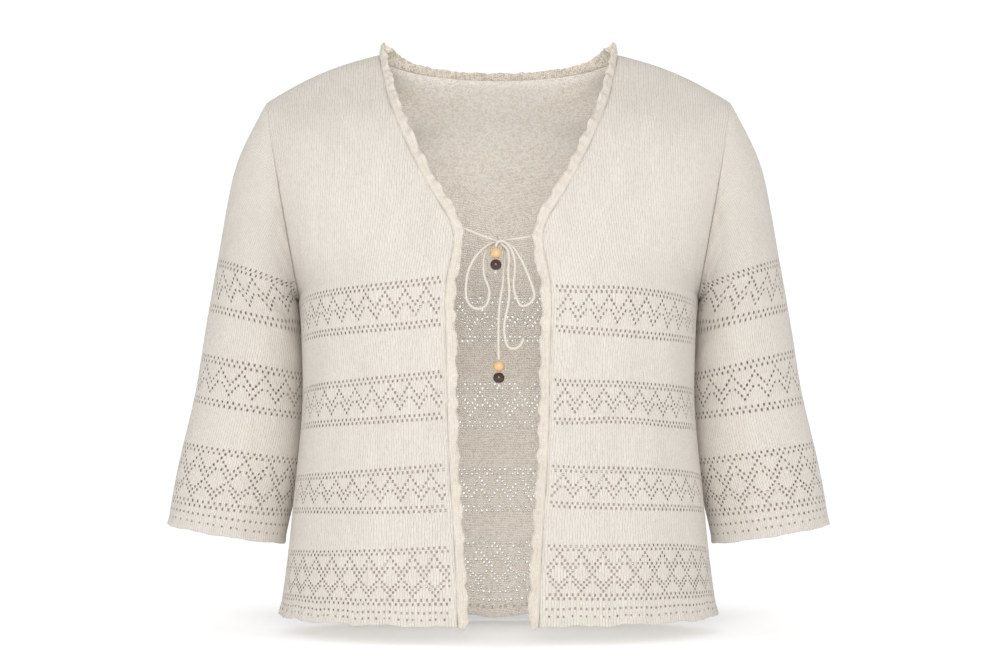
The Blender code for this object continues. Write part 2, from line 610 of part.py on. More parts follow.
def edging_grids(edges):
    """Outer and inner grids of the whole edging: a row at each step of its run."""
    corners, corner_normals = edging_path(edges)
    lift = between(edging_lift()[:, None], EDGING_STEPS)
    seam = between(corners, EDGING_STEPS)
    seam_inner = between(corners - WALL * corner_normals, EDGING_STEPS)
    normals = between(corner_normals, EDGING_STEPS)
    run = unit(between(np.gradient(corners, axis=0), EDGING_STEPS))
    away = unit(np.cross(normals, run))
    normals = unit(np.cross(run, away))
    along = np.append(0, np.cumsum(np.linalg.norm(np.diff(seam, axis=0), axis=1)))[:, None]
    to_hem = np.minimum(along, along[-1] - along)
    width = EDGING_WIDTH + EDGING_SCALLOP * np.cos(2 * math.pi * along / EDGING_FLUTE_LENGTH)
    width = width + EDGING_FLARE * np.exp(-((to_hem - 0.010) / EDGING_FLARE_REACH) ** 2)
    width = width * (0.60 + 0.40 * smooth_step(to_hem / 0.010))
    outward = np.cos(lift) * away + np.sin(lift) * normals
    upward = np.cos(lift) * normals - np.sin(lift) * away
    outer = []
    for across in EDGING_ACROSS:
        points = seam + SEAM_GAP * away + outward * width * across
        points = points + upward * flute(along) * across ** 1.5
        points[:, 2] -= (EDGING_HANG * across * np.exp(-to_hem / 0.012))[:, 0]
        outer.append(points)
    outer = np.stack(outer, axis=1)
    inward = sheet_normals(outer)
    inward = inward * np.sign(np.sum(inward * -upward[:, None], axis=-1, keepdims=True))
    inner = outer + WALL * inward
    inner[:, 0] = seam_inner + SEAM_GAP * away
    return outer, inner


def build_edging(edges):
    """Cut the edging at the two neck points into two front bands and a back neck band."""
    outer, inner = edging_grids(edges)
    front_rows = EDGING_STEPS * (ROWS_BELOW + ROWS_ABOVE)
    neck_rows = EDGING_STEPS * 2 * NECK_COLUMNS
    stops = (0, front_rows, front_rows + neck_rows, 2 * front_rows + neck_rows)
    names = ("left_front_edging", "back_neck_edging", "right_front_edging")
    for name, first, last in zip(names, stops[:-1], stops[1:]):
        grids = [grid[first:last + 1].copy() for grid in (outer, inner)]
        for grid in grids:
            if first > 0:
                grid[0] += SEAM_GAP / 2 * unit(grid[1] - grid[0])
            if last < stops[-1]:
                grid[-1] += SEAM_GAP / 2 * unit(grid[-2] - grid[-1])
        add_wall(name, *grids, EDGING_COLOUR)


# ---- the ties ----
def cord_points(route):
    """Points of a smooth curve through a cord's route, closer together in its bends."""
    route = np.array(route)
    chords = np.append(0, np.cumsum(np.linalg.norm(np.diff(route, axis=0), axis=1)))
    fine = cubic_through(chords, route, np.linspace(0, chords[-1], 1201))
    steps = np.diff(fine, axis=0)
    headings = unit(steps)
    turns = np.arccos(np.clip(np.sum(headings[1:] * headings[:-1], axis=1), -1, 1))
    effort = np.linalg.norm(steps, axis=1) / (2.5 * CORD_DIAMETER)
    effort[1:] += turns / math.radians(26)
    total = np.append(0, np.cumsum(effort))
    marks = np.linspace(0, total[-1], math.ceil(total[-1]) + 1)
    return np.stack([np.interp(marks, total, fine[:, k]) for k in range(3)], axis=-1)


def knot_wrap():
    """Route of the cord that wraps the knot, once round it from below and behind."""
    start, end = KNOT_WRAP
    angles = np.radians(np.arange(start, end, 20.0))
    x = np.linspace(-KNOT_WRAP_WIDTH / 2, KNOT_WRAP_WIDTH / 2, len(angles))
    return np.stack((KNOT[0] + x, KNOT[1] - KNOT_RADIUS * np.sin(angles),
                     KNOT[2] + KNOT_RADIUS * np.cos(angles)), axis=-1)


def build_tie(word, route, bead_place):
    """One tie of the bow and the two wooden beads below its end."""
    top = np.array(bead_place) + (0, 0, BEAD_RADIUS + SEAM_GAP)
    add_cord(f"{word}_tie", cord_points((*route, tuple(top))))
    dark = np.array(bead_place) - (0, 0, 2 * BEAD_RADIUS + SEAM_GAP)
    add_bead(f"{word}_tie_bead_pale", bead_place, PALE_WOOD_COLOUR)
    add_bead(f"{word}_tie_bead_dark", tuple(dark), DARK_WOOD_COLOUR)


def main():
    """Build the whole cardigan."""
    edges = build_body()
    build_edging(edges)
    build_tie("left", LEFT_TIE_ROUTE, LEFT_BEADS)
    build_tie("right", RIGHT_TIE_ROUTE, RIGHT_BEADS)
    add_cord("knot_tie", cord_points((*knot_wrap(), *KNOT_TIE_TAIL)))


main()
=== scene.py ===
"""Looks of a tie-front cardigan in open lace knit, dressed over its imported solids.

Metres, +Z up. The wearer faces -Y and the wearer's left is +X. Each panel is a thin shell
of knit on its solid's form, laid out on a lattice of stitches: columns go across the cloth
and rows go up it. Eyelets are real holes, placed by a chart of one repeat of the lace.
"""

import logging
import math
from dataclasses import dataclass, field
from enum import Enum, IntEnum

import bpy
import numpy as np
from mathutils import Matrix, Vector


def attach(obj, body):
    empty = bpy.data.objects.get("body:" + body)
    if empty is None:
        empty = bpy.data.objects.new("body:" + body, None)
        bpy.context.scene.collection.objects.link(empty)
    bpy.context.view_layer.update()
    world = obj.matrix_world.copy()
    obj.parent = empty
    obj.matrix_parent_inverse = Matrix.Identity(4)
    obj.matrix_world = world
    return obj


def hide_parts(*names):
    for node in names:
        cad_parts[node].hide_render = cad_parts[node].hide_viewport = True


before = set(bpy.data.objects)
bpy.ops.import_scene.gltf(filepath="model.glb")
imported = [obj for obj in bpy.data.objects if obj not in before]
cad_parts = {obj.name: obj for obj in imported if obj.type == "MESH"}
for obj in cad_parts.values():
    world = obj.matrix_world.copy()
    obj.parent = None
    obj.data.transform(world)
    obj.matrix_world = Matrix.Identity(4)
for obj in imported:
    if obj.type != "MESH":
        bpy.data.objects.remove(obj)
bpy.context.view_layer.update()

BODY = "root"
WALE = 0.0023                 # width of one column of stitches
COURSE = 0.0018               # height of one row of stitches
MIRROR = np.array((-1.0, 1.0, 1.0))
SIDES = (("left", np.ones(3)), ("right", MIRROR))    # factors that carry the left form there

Array = np.ndarray
Item = bpy.types.Object
Material = bpy.types.Material
Socket = bpy.types.NodeSocket
Colour = tuple[float, float, float]
Point = tuple[float, float, float]
log = logging.getLogger("cardigan")


# ---- curves and grids ----
def table(header: str, *rows: tuple) -> dict[str, Array]:
    """Turn the rows of a short table into one array for each named column."""
    return {name: np.array(values) for name, values in zip(header.split(), zip(*rows))}


def unit(vectors: Array) -> Array:
    """Scale an array of vectors to length 1."""
    return vectors / np.maximum(np.linalg.norm(vectors, axis=-1, keepdims=True), 1e-12)


def smooth_step(values: Array) -> Array:
    """Ease from 0 to 1."""
    values = np.clip(values, 0.0, 1.0)
    return values * values * (3 - 2 * values)


def run_length(points: Array) -> Array:
    """Length along a line of points, from 0 at its first."""
    return np.append(0.0, np.cumsum(np.linalg.norm(np.diff(points, axis=0), axis=1)))


def run_lengths(grid: Array) -> Array:
    """Length of each row of a grid of points."""
    return np.linalg.norm(np.diff(grid, axis=1), axis=2).sum(axis=1)


def waves(along: Array, *rows: tuple) -> Array:
    """Sum of sine waves along a run."""
    return sum(height * np.sin(along * 2 * math.pi / length + phase)
               for height, length, phase in rows)


def bump(distance: Array, reach: float) -> Array:
    """Round bump of height 1 over the places at distance 0."""
    return np.exp(-(distance / reach) ** 2)


def cubic_through(knots: Array, values: Array, at: Array,
                  end_slope: Array | None = None) -> Array:
    """Natural cubic spline through each point of an array.

    Args:
        knots: rising places of the values.
        values: the values, one for each knot along the first axis.
        at: places to read.
        end_slope: slope at the last knot, or None for a free end.

    Returns:
        The values at those places.
    """
    count = len(knots)
    step = np.diff(knots)
    flat = values.reshape(count, -1)
    chord = np.diff(flat, axis=0) / step[:, None]
    matrix = np.zeros((count, count))
    right = np.zeros_like(flat)
    matrix[0, 0] = 1.0
    for i in range(1, count - 1):
        matrix[i, i - 1:i + 2] = step[i - 1], 2 * (step[i - 1] + step[i]), step[i]
        right[i] = 6 * (chord[i] - chord[i - 1])
    if end_slope is None:
        matrix[-1, -1] = 1.0
    else:
        matrix[-1, -2:] = step[-1], 2 * step[-1]
        right[-1] = 6 * (end_slope.reshape(-1) - chord[-1])
    bend = np.linalg.solve(matrix, right)
    i = np.clip(np.searchsorted(knots, at) - 1, 0, count - 2)
    t = (at - knots[i])[:, None]
    h = step[i][:, None]
    out = flat[i] + t * (chord[i] - h * (2 * bend[i] + bend[i + 1]) / 6)
    out += t ** 2 * bend[i] / 2 + t ** 3 * (bend[i + 1] - bend[i]) / (6 * h)
    return out.reshape((len(at),) + values.shape[1:])


class Surface:
    """A dense grid of points on one piece's outer face, which can be read anywhere."""

    def __init__(self, up: Array, across: Array, points: Array,
                 outward: float = 1.0) -> None:
        """Keep the grid and work out its normals.

        Args:
            up: rising places of the rows.
            across: rising places of the columns.
            points: the grid, as rows of points.
            outward: 1 if columns crossed with rows point out of the cloth, or else -1.
        """
        self.up = up
        self.across = across
        self.points = points
        self.outward = outward
        closed = np.allclose(points[:, 0], points[:, -1])
        if closed:
            wide = np.concatenate((points[:, -2:-1], points, points[:, 1:2]), axis=1)
            sideways = (wide[:, 2:] - wide[:, :-2])
        else:
            sideways = np.gradient(points, axis=1)
        self.normals = outward * unit(np.cross(sideways, np.gradient(points, axis=0)))

    def read(self, grid: Array, up: Array, across: Array) -> Array:
        """Read a grid of vectors at any places, between its points.

        Args:
            grid: the points or the normals.
            up: places up the cloth.
            across: places across it, of the same shape.

        Returns:
            A vector for each place.
        """
        i = np.clip(np.searchsorted(self.up, up) - 1, 0, len(self.up) - 2)
        j = np.clip(np.searchsorted(self.across, across) - 1, 0, len(self.across) - 2)
        s = ((up - self.up[i]) / (self.up[i + 1] - self.up[i]))[..., None]
        t = ((across - self.across[j]) / (self.across[j + 1] - self.across[j]))[..., None]
        low = grid[i, j] * (1 - t) + grid[i, j + 1] * t
        high = grid[i + 1, j] * (1 - t) + grid[i + 1, j + 1] * t
        return low * (1 - s) + high * s

    def at(self, up: Array, across: Array) -> Array:
        """Points of the surface at places up and across it."""
        return self.read(self.points, up, across)

    def normal_at(self, up: Array, across: Array) -> Array:
        """Normals of the surface at places up and across it."""
        return unit(self.read(self.normals, up, across))


# ---- pieces ----
def add_item(name: str, points: list, faces: list, materials: list[Material],
             knit_map: list | None = None) -> Item:
    """Make a smooth mesh object and put it in the scene.

    Args:
        name: its name.
        points: its points.
        faces: its faces, as numbers of points.
        materials: its finishes.
        knit_map: places across and up the cloth of each corner of each face, in metres.

    Returns:
        The object.
    """
    mesh = bpy.data.meshes.new(name)
    mesh.from_pydata(points, [], faces)
    if knit_map is not None:
        mesh.uv_layers.new(name="knit").data.foreach_set("uv", np.array(knit_map).ravel())
    mesh.shade_smooth()
    for material in materials:
        mesh.materials.append(material)
    item = bpy.data.objects.new(name, mesh)
    bpy.context.scene.collection.objects.link(item)
    return item


def declare(piece: Item, node: str | None = None) -> None:
    """Say which body a piece rides and the solid it stands for.

    Args:
        piece: the piece.
        node: the solid's node, or None where the piece is an addition.
    """
    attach(piece, BODY)
    if node is not None:
        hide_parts(node)


# ---- materials ----
class NodeBoard:
    """A material with a Principled shader, and short ways to add and join its nodes."""

    def __init__(self, name: str, roughness: float) -> None:
        """Start a material.

        Args:
            name: the finish's name.
            roughness: the shader's roughness, where no node sets it.
        """
        self.material = bpy.data.materials.new(name)
        self.material.use_nodes = True
        self.tree = self.material.node_tree
        self.shader = self.tree.nodes["Principled BSDF"]
        self.shader.inputs["Roughness"].default_value = roughness

    def join(self, value: object, socket: Socket) -> None:
        """Link a socket to an input, or set the input to a number.

        Args:
            value: a socket, a number or a colour, or None to leave the input as it is.
            socket: the input.
        """
        if isinstance(value, Socket):
            self.tree.links.new(value, socket)
        elif value is not None:
            socket.default_value = value

    def math(self, operation: str, *values: object) -> Socket:
        """One sum of numbers or sockets.

        Args:
            operation: the sum's name in the node.
            values: its numbers or sockets, in order.

        Returns:
            The result's socket.
        """
        node = self.tree.nodes.new("ShaderNodeMath")
        node.operation = operation
        for value, socket in zip(values, node.inputs):
            self.join(value, socket)
        return node.outputs[0]

    def total(self, *terms: tuple[object, float]) -> Socket:
        """Weighted sum of sockets.

        Args:
            terms: each socket with its weight.

        Returns:
            The sum's socket.
        """
        result = self.math("MULTIPLY", *terms[0])
        for value, weight in terms[1:]:
            result = self.math("MULTIPLY_ADD", value, weight, result)
        return result

    def knit_map(self) -> tuple[Socket, Socket]:
        """Places across and up the cloth, in metres.

        Returns:
            The socket of each.
        """
        uv = self.tree.nodes.new("ShaderNodeUVMap")
        uv.uv_map = "knit"
        return self.parts(uv.outputs[0])[:2]

    def add(self, kind: str, output: int | str = 0, **inputs: object) -> Socket:
        """Add a node and set or link its inputs.

        Args:
            kind: the node's kind.
            output: the output to return.
            inputs: a value or a socket for each input's name.

        Returns:
            The output's socket.
        """
        node = self.tree.nodes.new("ShaderNode" + kind)
        for name, value in inputs.items():
            self.join(value, node.inputs[name])
        return node.outputs[output]

    def vector(self, x: object, y: object) -> Socket:
        """Join two numbers or sockets in a vector."""
        return self.add("CombineXYZ", X=x, Y=y)

    def parts(self, place: Socket) -> tuple[Socket, ...]:
        """Part a vector into its three numbers.

        Args:
            place: the vector.

        Returns:
            A socket for each number.
        """
        node = self.tree.nodes.new("ShaderNodeSeparateXYZ")
        self.tree.links.new(place, node.inputs[0])
        return tuple(node.outputs)

    def object_place(self, scale: Point = (1.0, 1.0, 1.0)) -> Socket:
        """Place in the object, scaled along each axis."""
        return self.add("Mapping", Vector=self.add("TexCoord", "Object"), Scale=scale)

    def noise(self, place: Socket, scale: float, detail: float = 2.0,
              roughness: float = 0.5) -> Socket:
        """Soft noise from 0 to 1: its lumps in a metre, finer layers and their strength."""
        return self.add("TexNoise", "Fac", Vector=place, Scale=scale, Detail=detail,
                        Roughness=roughness)

    def chance(self, x: object, y: object) -> Socket:
        """A random number from 0 to 1 for each pair of whole numbers.

        Args:
            x: the first whole number.
            y: the second.

        Returns:
            The random number's socket.
        """
        node = self.tree.nodes.new("ShaderNodeTexWhiteNoise")
        node.noise_dimensions = "2D"
        self.tree.links.new(self.vector(x, y), node.inputs["Vector"])
        return node.outputs["Value"]

    def attribute(self, name: str) -> Socket:
        """A number kept on the mesh.

        Args:
            name: the attribute's name.

        Returns:
            Its socket.
        """
        node = self.tree.nodes.new("ShaderNodeAttribute")
        node.attribute_name = name
        return node.outputs["Fac"]

    def blend(self, share: object, low: object, high: object) -> Socket:
        """Mix two colours by a share.

        Args:
            share: 0 for the first colour, up to 1 for the second.
            low: the first colour or its socket.
            high: the second.

        Returns:
            The mix's socket.
        """
        node = self.tree.nodes.new("ShaderNodeMix")
        node.data_type = "RGBA"
        self.join(share, node.inputs[0])
        for value, socket in ((low, node.inputs[6]), (high, node.inputs[7])):
            self.join((*value, 1.0) if isinstance(value, tuple) else value, socket)
        return node.outputs[2]

    def relief(self, height: Socket, depth: float) -> None:
        """Raise the surface by heights from 0 to 1 times a depth in metres."""
        normal = self.add("Bump", Strength=1.0, Distance=depth, Height=height)
        self.join(normal, self.shader.inputs["Normal"])

    def colour(self, value: object) -> None:
        """Set the shader's colour."""
        self.join(value, self.shader.inputs["Base Color"])

    def sheen(self, weight: float, roughness: float = 0.5) -> None:
        """Give the shader the soft sheen of fibres."""
        self.shader.inputs["Sheen Weight"].default_value = weight
        self.shader.inputs["Sheen Roughness"].default_value = roughness


class KnitSide(Enum):
    """Which side of stocking stitch shows."""

    FACE = "face"
    PURL = "purl"


@dataclass(frozen=True)
class KnitFinish:
    """Matt slubby knit yarn, seen from its face or from its purl side."""

    name: str
    side: KnitSide
    # light and deep are the yarn's colours; the deep colour also serves as painted shade in the
    # stitches' hollows.
    light: Colour
    deep: Colour
    painted_shade: Colour               # painted shade colour in eyelets, dimples, creases and beside seams
    relief: float
    speckle: float            # difference from stitch to stitch
    drift: float = 0.0007     # how far stitches stray from their columns
    stitch_share: float = 0.62
    bias: float = 0.0         # how much lighter or darker the mix of both colours is

    def stitch(self, board: NodeBoard, u: object, v: object) -> tuple[object, object]:
        """Height of the stitches, from 0 in their hollows to 1, and a number for each.

        Args:
            board: the material.
            u: place across the cloth.
            v: place up it.

        Returns:
            The height's socket and the socket of a random number for each stitch.
        """
        x = board.math("DIVIDE", u, WALE)
        y = board.math("DIVIDE", v, COURSE)
        if self.side is KnitSide.PURL:
            row = board.math("FLOOR", y)
            x = board.math("MULTIPLY_ADD", row, 0.5, x)
            loops = board.math("COSINE", board.math("MULTIPLY", x, 2 * math.pi))
            bars = board.math("ABSOLUTE", board.math("SINE", board.math("MULTIPLY", y, math.pi)))
            height = board.math("MULTIPLY", board.math("POWER", bars, 0.7),
                                board.math("MULTIPLY_ADD", loops, 0.32, 0.68))
            grain = board.chance(board.math("FLOOR", board.math("MULTIPLY", x, 1.4)), row)
            return height, grain
        leg = board.math("ABSOLUTE", board.math("SUBTRACT", board.math("FRACT", x), 0.5))
        leg = board.math("MULTIPLY", leg, 2.0)
        course = board.math("SUBTRACT", y, board.math("MULTIPLY", leg, 0.9))
        beside = board.math("SUBTRACT", 1.0, board.math("POWER", leg, 4.0))
        middle = board.math("MINIMUM", board.math("MULTIPLY_ADD", leg, 2.6, 0.35), 1.0)
        along = board.math("SINE", board.math("MULTIPLY", board.math("FRACT", course), math.pi))
        along = board.math("MULTIPLY_ADD", board.math("POWER", along, 0.6), 0.5, 0.5)
        height = board.math("MULTIPLY", board.math("MULTIPLY", beside, middle), along)
        return height, board.chance(board.math("FLOOR", board.math("MULTIPLY", x, 2.0)),
                                    board.math("FLOOR", course))

    def material(self) -> Material:
        """Build the finish's material.

        Returns:
            The material.
        """
        board = NodeBoard(self.name, roughness=0.92)
        u, v = board.knit_map()
        drift = board.noise(board.vector(u, v), 300.0, 2.0)
        wander = board.noise(board.vector(v, u), 35.0, 1.0)
        u = board.total((u, 1.0), (drift, self.drift), (wander, 0.0040))
        v = board.total((v, 1.0), (drift, -self.drift), (wander, -0.0030))
        stitch, number = self.stitch(board, u, v)
        slub = board.noise(board.vector(board.math("MULTIPLY", u, 0.2), v), 600.0, 2.0)
        fuzz = board.noise(board.object_place(), 2600.0, 2.0)
        height = board.total((stitch, 0.75), (slub, 0.15), (fuzz, 0.20))
        cloud = board.noise(board.object_place((1.0, 1.0, 0.6)), 22.0, 3.0)
        # Colour share: the stitch term is painted shade in the stitches' hollows; the speckle,
        # slub, cloud and fuzz terms are random tone of the yarn.
        share = board.total((stitch, self.stitch_share), (number, self.speckle), (slub, 0.22),
                            (cloud, 0.18), (fuzz, 0.12))
        share = board.math("ADD", share, self.bias)
        # Painted shade: the yarn's colour darkens towards the painted shade colour by the share
        # kept on the mesh, at eyelets, dimples, creases and seams.
        painted_shade = board.math("POWER", board.attribute("painted_shade_share"), 1.9)
        yarn = board.blend(share, self.deep, self.light)
        board.colour(board.blend(painted_shade, yarn, self.painted_shade))
        board.relief(height, self.relief)
        board.sheen(0.08)
        return board.material


@dataclass(frozen=True)
class EdgingFinish:
    """Fine smooth knit of the folded edging, with lines along its run."""

    name: str
    light: Colour
    deep: Colour
    line: float = 0.0021
    relief: float = 0.00085

    def material(self) -> Material:
        """Build the finish's material.

        Returns:
            The material.
        """
        board = NodeBoard(self.name, roughness=0.88)
        u, v = board.knit_map()
        lines = board.math("SINE", board.math("MULTIPLY", u, 2 * math.pi / self.line))
        loops = board.math("SINE", board.math("MULTIPLY", v, 2 * math.pi / 0.0016))
        slub = board.noise(board.vector(u, board.math("MULTIPLY", v, 0.35)), 900.0, 2.0)
        pucker = board.noise(board.vector(u, board.math("MULTIPLY", v, 0.7)), 330.0, 2.0)
        fuzz = board.noise(board.object_place(), 2600.0, 2.0)
        height = board.total((lines, 0.11), (loops, 0.07), (slub, 0.40), (fuzz, 0.22),
                             (pucker, 0.60))
        height = board.math("ADD", height, -0.06)
        cloud = board.noise(board.object_place(), 30.0, 2.0)
        # Colour follows the relief: painted shade in the lines, loops and puckers, with random
        # tone from the slub, fuzz and cloud.
        board.colour(board.blend(board.total((height, 0.8), (cloud, 0.4)),
                                 self.deep, self.light))
        board.relief(height, self.relief)
        board.sheen(0.12)
        return board.material


@dataclass(frozen=True)
class CordFinish:
    """Fine knitted tube of the ties, its stitches slanting round it."""

    name: str
    light: Colour
    deep: Colour
    relief: float = 0.00016

    def material(self) -> Material:
        """Build the finish's material.

        Returns:
            The material.
        """
        board = NodeBoard(self.name, roughness=0.85)
        u, v = board.knit_map()
        x = board.math("DIVIDE", u, 0.0020)
        leg = board.math("ABSOLUTE", board.math("SUBTRACT", board.math("FRACT", x), 0.5))
        y = board.math("DIVIDE", v, 0.0015)
        y = board.math("SUBTRACT", y, board.math("MULTIPLY", leg, 1.8))
        along = board.math("SINE", board.math("MULTIPLY", board.math("FRACT", y), math.pi))
        across = board.math("SINE", board.math("MULTIPLY", leg, 2 * math.pi))
        stitch = board.math("MULTIPLY", board.math("ABSOLUTE", across),
                            board.math("MULTIPLY_ADD", along, 0.6, 0.4))
        fuzz = board.noise(board.object_place(), 3000.0, 2.0)
        height = board.total((stitch, 0.75), (fuzz, 0.25))
        # Colour follows the stitch height: painted shade in the stitches' hollows, with random
        # tone from the fuzz.
        board.colour(board.blend(board.math("MULTIPLY_ADD", height, 0.7, 0.3),
                                 self.deep, self.light))
        board.relief(height, self.relief)
        board.sheen(0.1)
        return board.material


@dataclass(frozen=True)
class WoodFinish:
    """Turned and polished wood with fine grain along the bore."""

    name: str
    light: Colour
    deep: Colour
    roughness: float
    coat: float

    def material(self) -> Material:
        """Build the finish's material.

        Returns:
            The material.
        """
        board = NodeBoard(self.name, self.roughness)
        grain = board.noise(board.object_place((1.0, 1.0, 0.12)), 1400.0, 4.0, 0.6)
        rings = board.noise(board.object_place((1.0, 1.0, 0.3)), 260.0, 2.0)
        share = board.total((grain, 0.6), (rings, 0.5))
        board.colour(board.blend(share, self.deep, self.light))
        board.relief(grain, 0.00006)
        board.shader.inputs["Coat Weight"].default_value = self.coat
        board.shader.inputs["Coat Roughness"].default_value = 0.08
        return board.material


class Finishes:
    """The garment's materials, each built once."""

    def __init__(self) -> None:
        """Build them all."""
        self.face = KnitFinish("knit_face", KnitSide.FACE, (0.795, 0.745, 0.675),
                               (0.265, 0.225, 0.165), (0.14, 0.095, 0.055), 0.0008, 0.26,
                               0.0008, 0.90, -0.02).material()
        # The purl side's colours are lighter than the face's: painted light on the garment's
        # inside, with random speckle.
        self.purl = KnitFinish("knit_purl_painted_light", KnitSide.PURL, (1.0, 0.940, 0.860),
                               (0.49, 0.42, 0.32), (0.68, 0.60, 0.49), 0.0009, 0.52,
                               0.0003, 0.80, 0.02).material()
        self.edging = EdgingFinish("edging_knit", (0.755, 0.695, 0.62),
                                   (0.44, 0.385, 0.31)).material()
        self.edging_inside = KnitFinish("edging_inside", KnitSide.PURL, (0.86, 0.78, 0.67),
                                        (0.24, 0.19, 0.12), (0.3, 0.2, 0.1), 0.0010, 0.62,
                                        0.0003).material()
        self.cord = CordFinish("cord_knit", (0.70, 0.655, 0.585), (0.50, 0.45, 0.37)).material()
        self.pale_wood = WoodFinish("pale_wood", (0.74, 0.50, 0.27), (0.58, 0.34, 0.14),
                                    0.32, 0.4).material()
        self.dark_wood = WoodFinish("dark_wood", (0.060, 0.017, 0.011), (0.016, 0.006, 0.005),
                                    0.2, 0.35).material()


# ---- the garment's form ----
@dataclass
class GarmentForm:
    """The worn, hollow form that the cloth lies on: body, armholes and sleeves."""

    neck_x: float = 0.115
    neck_z: float = 0.002
    neck_depth: float = 0.060
    neck_drop: float = 0.020
    shoulder_bulge: float = 0.003
    armhole_x: float = 0.1925
    armhole_flare: float = 0.0325
    armhole_y: float = 0.002
    armhole_z: float = -0.1398
    armhole_depth: float = 0.056
    armhole_height: float = 0.0952
    row_pull: float = 0.58
    neck_share: float = 0.45
    shoulder_rise: float = 0.6085
    body: dict = field(default_factory=lambda: table(
        "rise edge_x edge_y edge_z side_x side_y side_z back_y back_z",
        (0.0000, 0.0375, -0.131, -0.5415, 0.2115, -0.004, -0.5395, 0.118, -0.5545),
        (0.0750, 0.0405, -0.128, -0.4665, 0.2030, -0.006, -0.4765, 0.108, -0.4800),
        (0.1455, 0.0450, -0.125, -0.3960, 0.1960, -0.010, -0.4090, 0.098, -0.4100),
        (0.2155, 0.0473, -0.125, -0.3260, 0.1895, -0.012, -0.3410, 0.094, -0.3410),
        (0.2755, 0.0485, -0.128, -0.2660, 0.1900, -0.010, -0.2840, 0.098, -0.2820),
        (0.3275, 0.0470, -0.130, -0.2140, 0.1925, 0.002, -0.2350, 0.104, -0.2300),
    ))
    chest: dict = field(default_factory=lambda: table(
        "rise armhole_angle wrap edge_x edge_y edge_z back_y back_z",
        (0.3665, 150.0, 0.97, 0.0417, -0.128, -0.1750, 0.106, -0.190),
        (0.4060, 117.0, 0.88, 0.0588, -0.120, -0.1400, 0.106, -0.150),
        (0.4520, 84.0, 0.70, 0.0800, -0.106, -0.1020, 0.102, -0.112),
        (0.5010, 54.0, 0.42, 0.0980, -0.083, -0.0620, 0.094, -0.078),
        (0.5600, 26.0, 0.18, 0.1105, -0.042, -0.0220, 0.078, -0.045),
    ))
    sleeve: dict = field(default_factory=lambda: table(
        "outer_x outer_z inner_x inner_z middle_y depth",
        (0.2382, -0.0689, 0.1965, -0.2370, 0.004, 0.118),
        (0.2528, -0.0989, 0.1965, -0.2400, 0.010, 0.124),
        (0.2640, -0.1406, 0.1945, -0.2455, 0.018, 0.128),
        (0.2720, -0.1830, 0.1915, -0.2570, 0.025, 0.128),
        (0.2810, -0.2310, 0.1895, -0.2840, 0.029, 0.124),
        (0.2882, -0.2726, 0.1875, -0.3180, 0.030, 0.118),
        (0.2972, -0.3280, 0.1875, -0.3620, 0.029, 0.112),
        (0.3090, -0.3795, 0.1930, -0.4055, 0.024, 0.102),
        (0.3178, -0.4245, 0.2028, -0.4450, 0.018, 0.094),
        (0.3222, -0.4545, 0.2085, -0.4728, 0.014, 0.088),
    ))

    @property
    def underarm_rise(self) -> float:
        """Height up the cloth at which the side seam ends."""
        return float(self.body["rise"][-1])

    @property
    def side_seam(self) -> Array:
        """Points of the side seam, one for each row of the body's table."""
        return np.stack([self.body["side_" + axis] for axis in "xyz"], axis=-1)

    def armhole_point(self, angle: Array) -> Array:
        """Points of the armhole.

        Args:
            angle: angles in degrees from its top, towards the front first.

        Returns:
            A point for each angle.
        """
        turn = np.radians(angle)
        rise = (1 + np.cos(turn)) / 2
        return np.stack((self.armhole_x + self.armhole_flare * rise ** 1.1,
                         self.armhole_y - self.armhole_depth * np.sin(turn),
                         self.armhole_z + self.armhole_height * np.cos(turn)), axis=-1)

    def shoulder_line(self, share: Array) -> Array:
        """Points of the shoulder seam.

        Args:
            share: places from 0 at its neck end to 1 at its armhole end.

        Returns:
            A point for each place.
        """
        start = np.array((self.neck_x, 0.0, self.neck_z))
        end = self.armhole_point(np.array(0.0))
        points = start + np.outer(share, end - start)
        points[:, 2] += self.shoulder_bulge * np.sin(np.pi * share)
        return points

    def neck_line(self, share: Array) -> Array:
        """Points of the back neck.

        Args:
            share: places from 0 at its middle to 1 at the neck point.

        Returns:
            A point for each place.
        """
        turn = share * math.pi / 2
        return np.stack((self.neck_x * np.sin(turn), self.neck_depth * np.cos(turn),
                         self.neck_z - self.neck_drop * np.cos(turn)), axis=-1)

    def body_row(self, start: Array, end: Array, wrap: float,
                 shares: Array) -> Array:
        """One row round the body, leaving its start squarely.

        Args:
            start: the point at the front edge or the middle of the back.
            end: the point at the side.
            wrap: how squarely the row turns before it meets its end.
            shares: places along it, as shares of its length.

        Returns:
            Points at those places.
        """
        reach = end - start
        bend_out = start + self.row_pull * reach * (1, 0, 1)
        bend_in = end - self.row_pull * reach * (1 - wrap, 1, 1)
        t = np.linspace(0, 1, 201)[:, None]
        curve = ((1 - t) ** 3 * start + 3 * t * (1 - t) ** 2 * bend_out
                 + 3 * t ** 2 * (1 - t) * bend_in + t ** 3 * end)
        length = run_length(curve)
        return np.stack([np.interp(shares * length[-1], length, curve[:, k])
                         for k in range(3)], axis=1)

    def armhole_rise(self, angle: Array) -> Array:
        """Height up the cloth at which a row ends at an angle of the armhole.

        Args:
            angle: angles in degrees, as in armhole_point.

        Returns:
            A height for each angle.
        """
        knots = np.concatenate(((0.0,), 180 - self.chest["armhole_angle"], (180.0,)))
        rises = np.concatenate(((self.underarm_rise,), self.chest["rise"],
                                (self.shoulder_rise,)))
        return cubic_through(knots, rises, 180 - angle)

    def side_points(self, rises: Array) -> Array:
        """Side seam points up to the underarm, then points of the armhole's front half.

        Args:
            rises: heights up the cloth.

        Returns:
            A point for each height.
        """
        points = cubic_through(self.body["rise"], self.side_seam,
                               np.minimum(rises, self.underarm_rise))
        angles = np.linspace(180, 0, 361)
        above = rises > self.underarm_rise
        ends = np.interp(rises[above], self.armhole_rise(angles), angles)
        points[above] = self.armhole_point(ends)
        return points

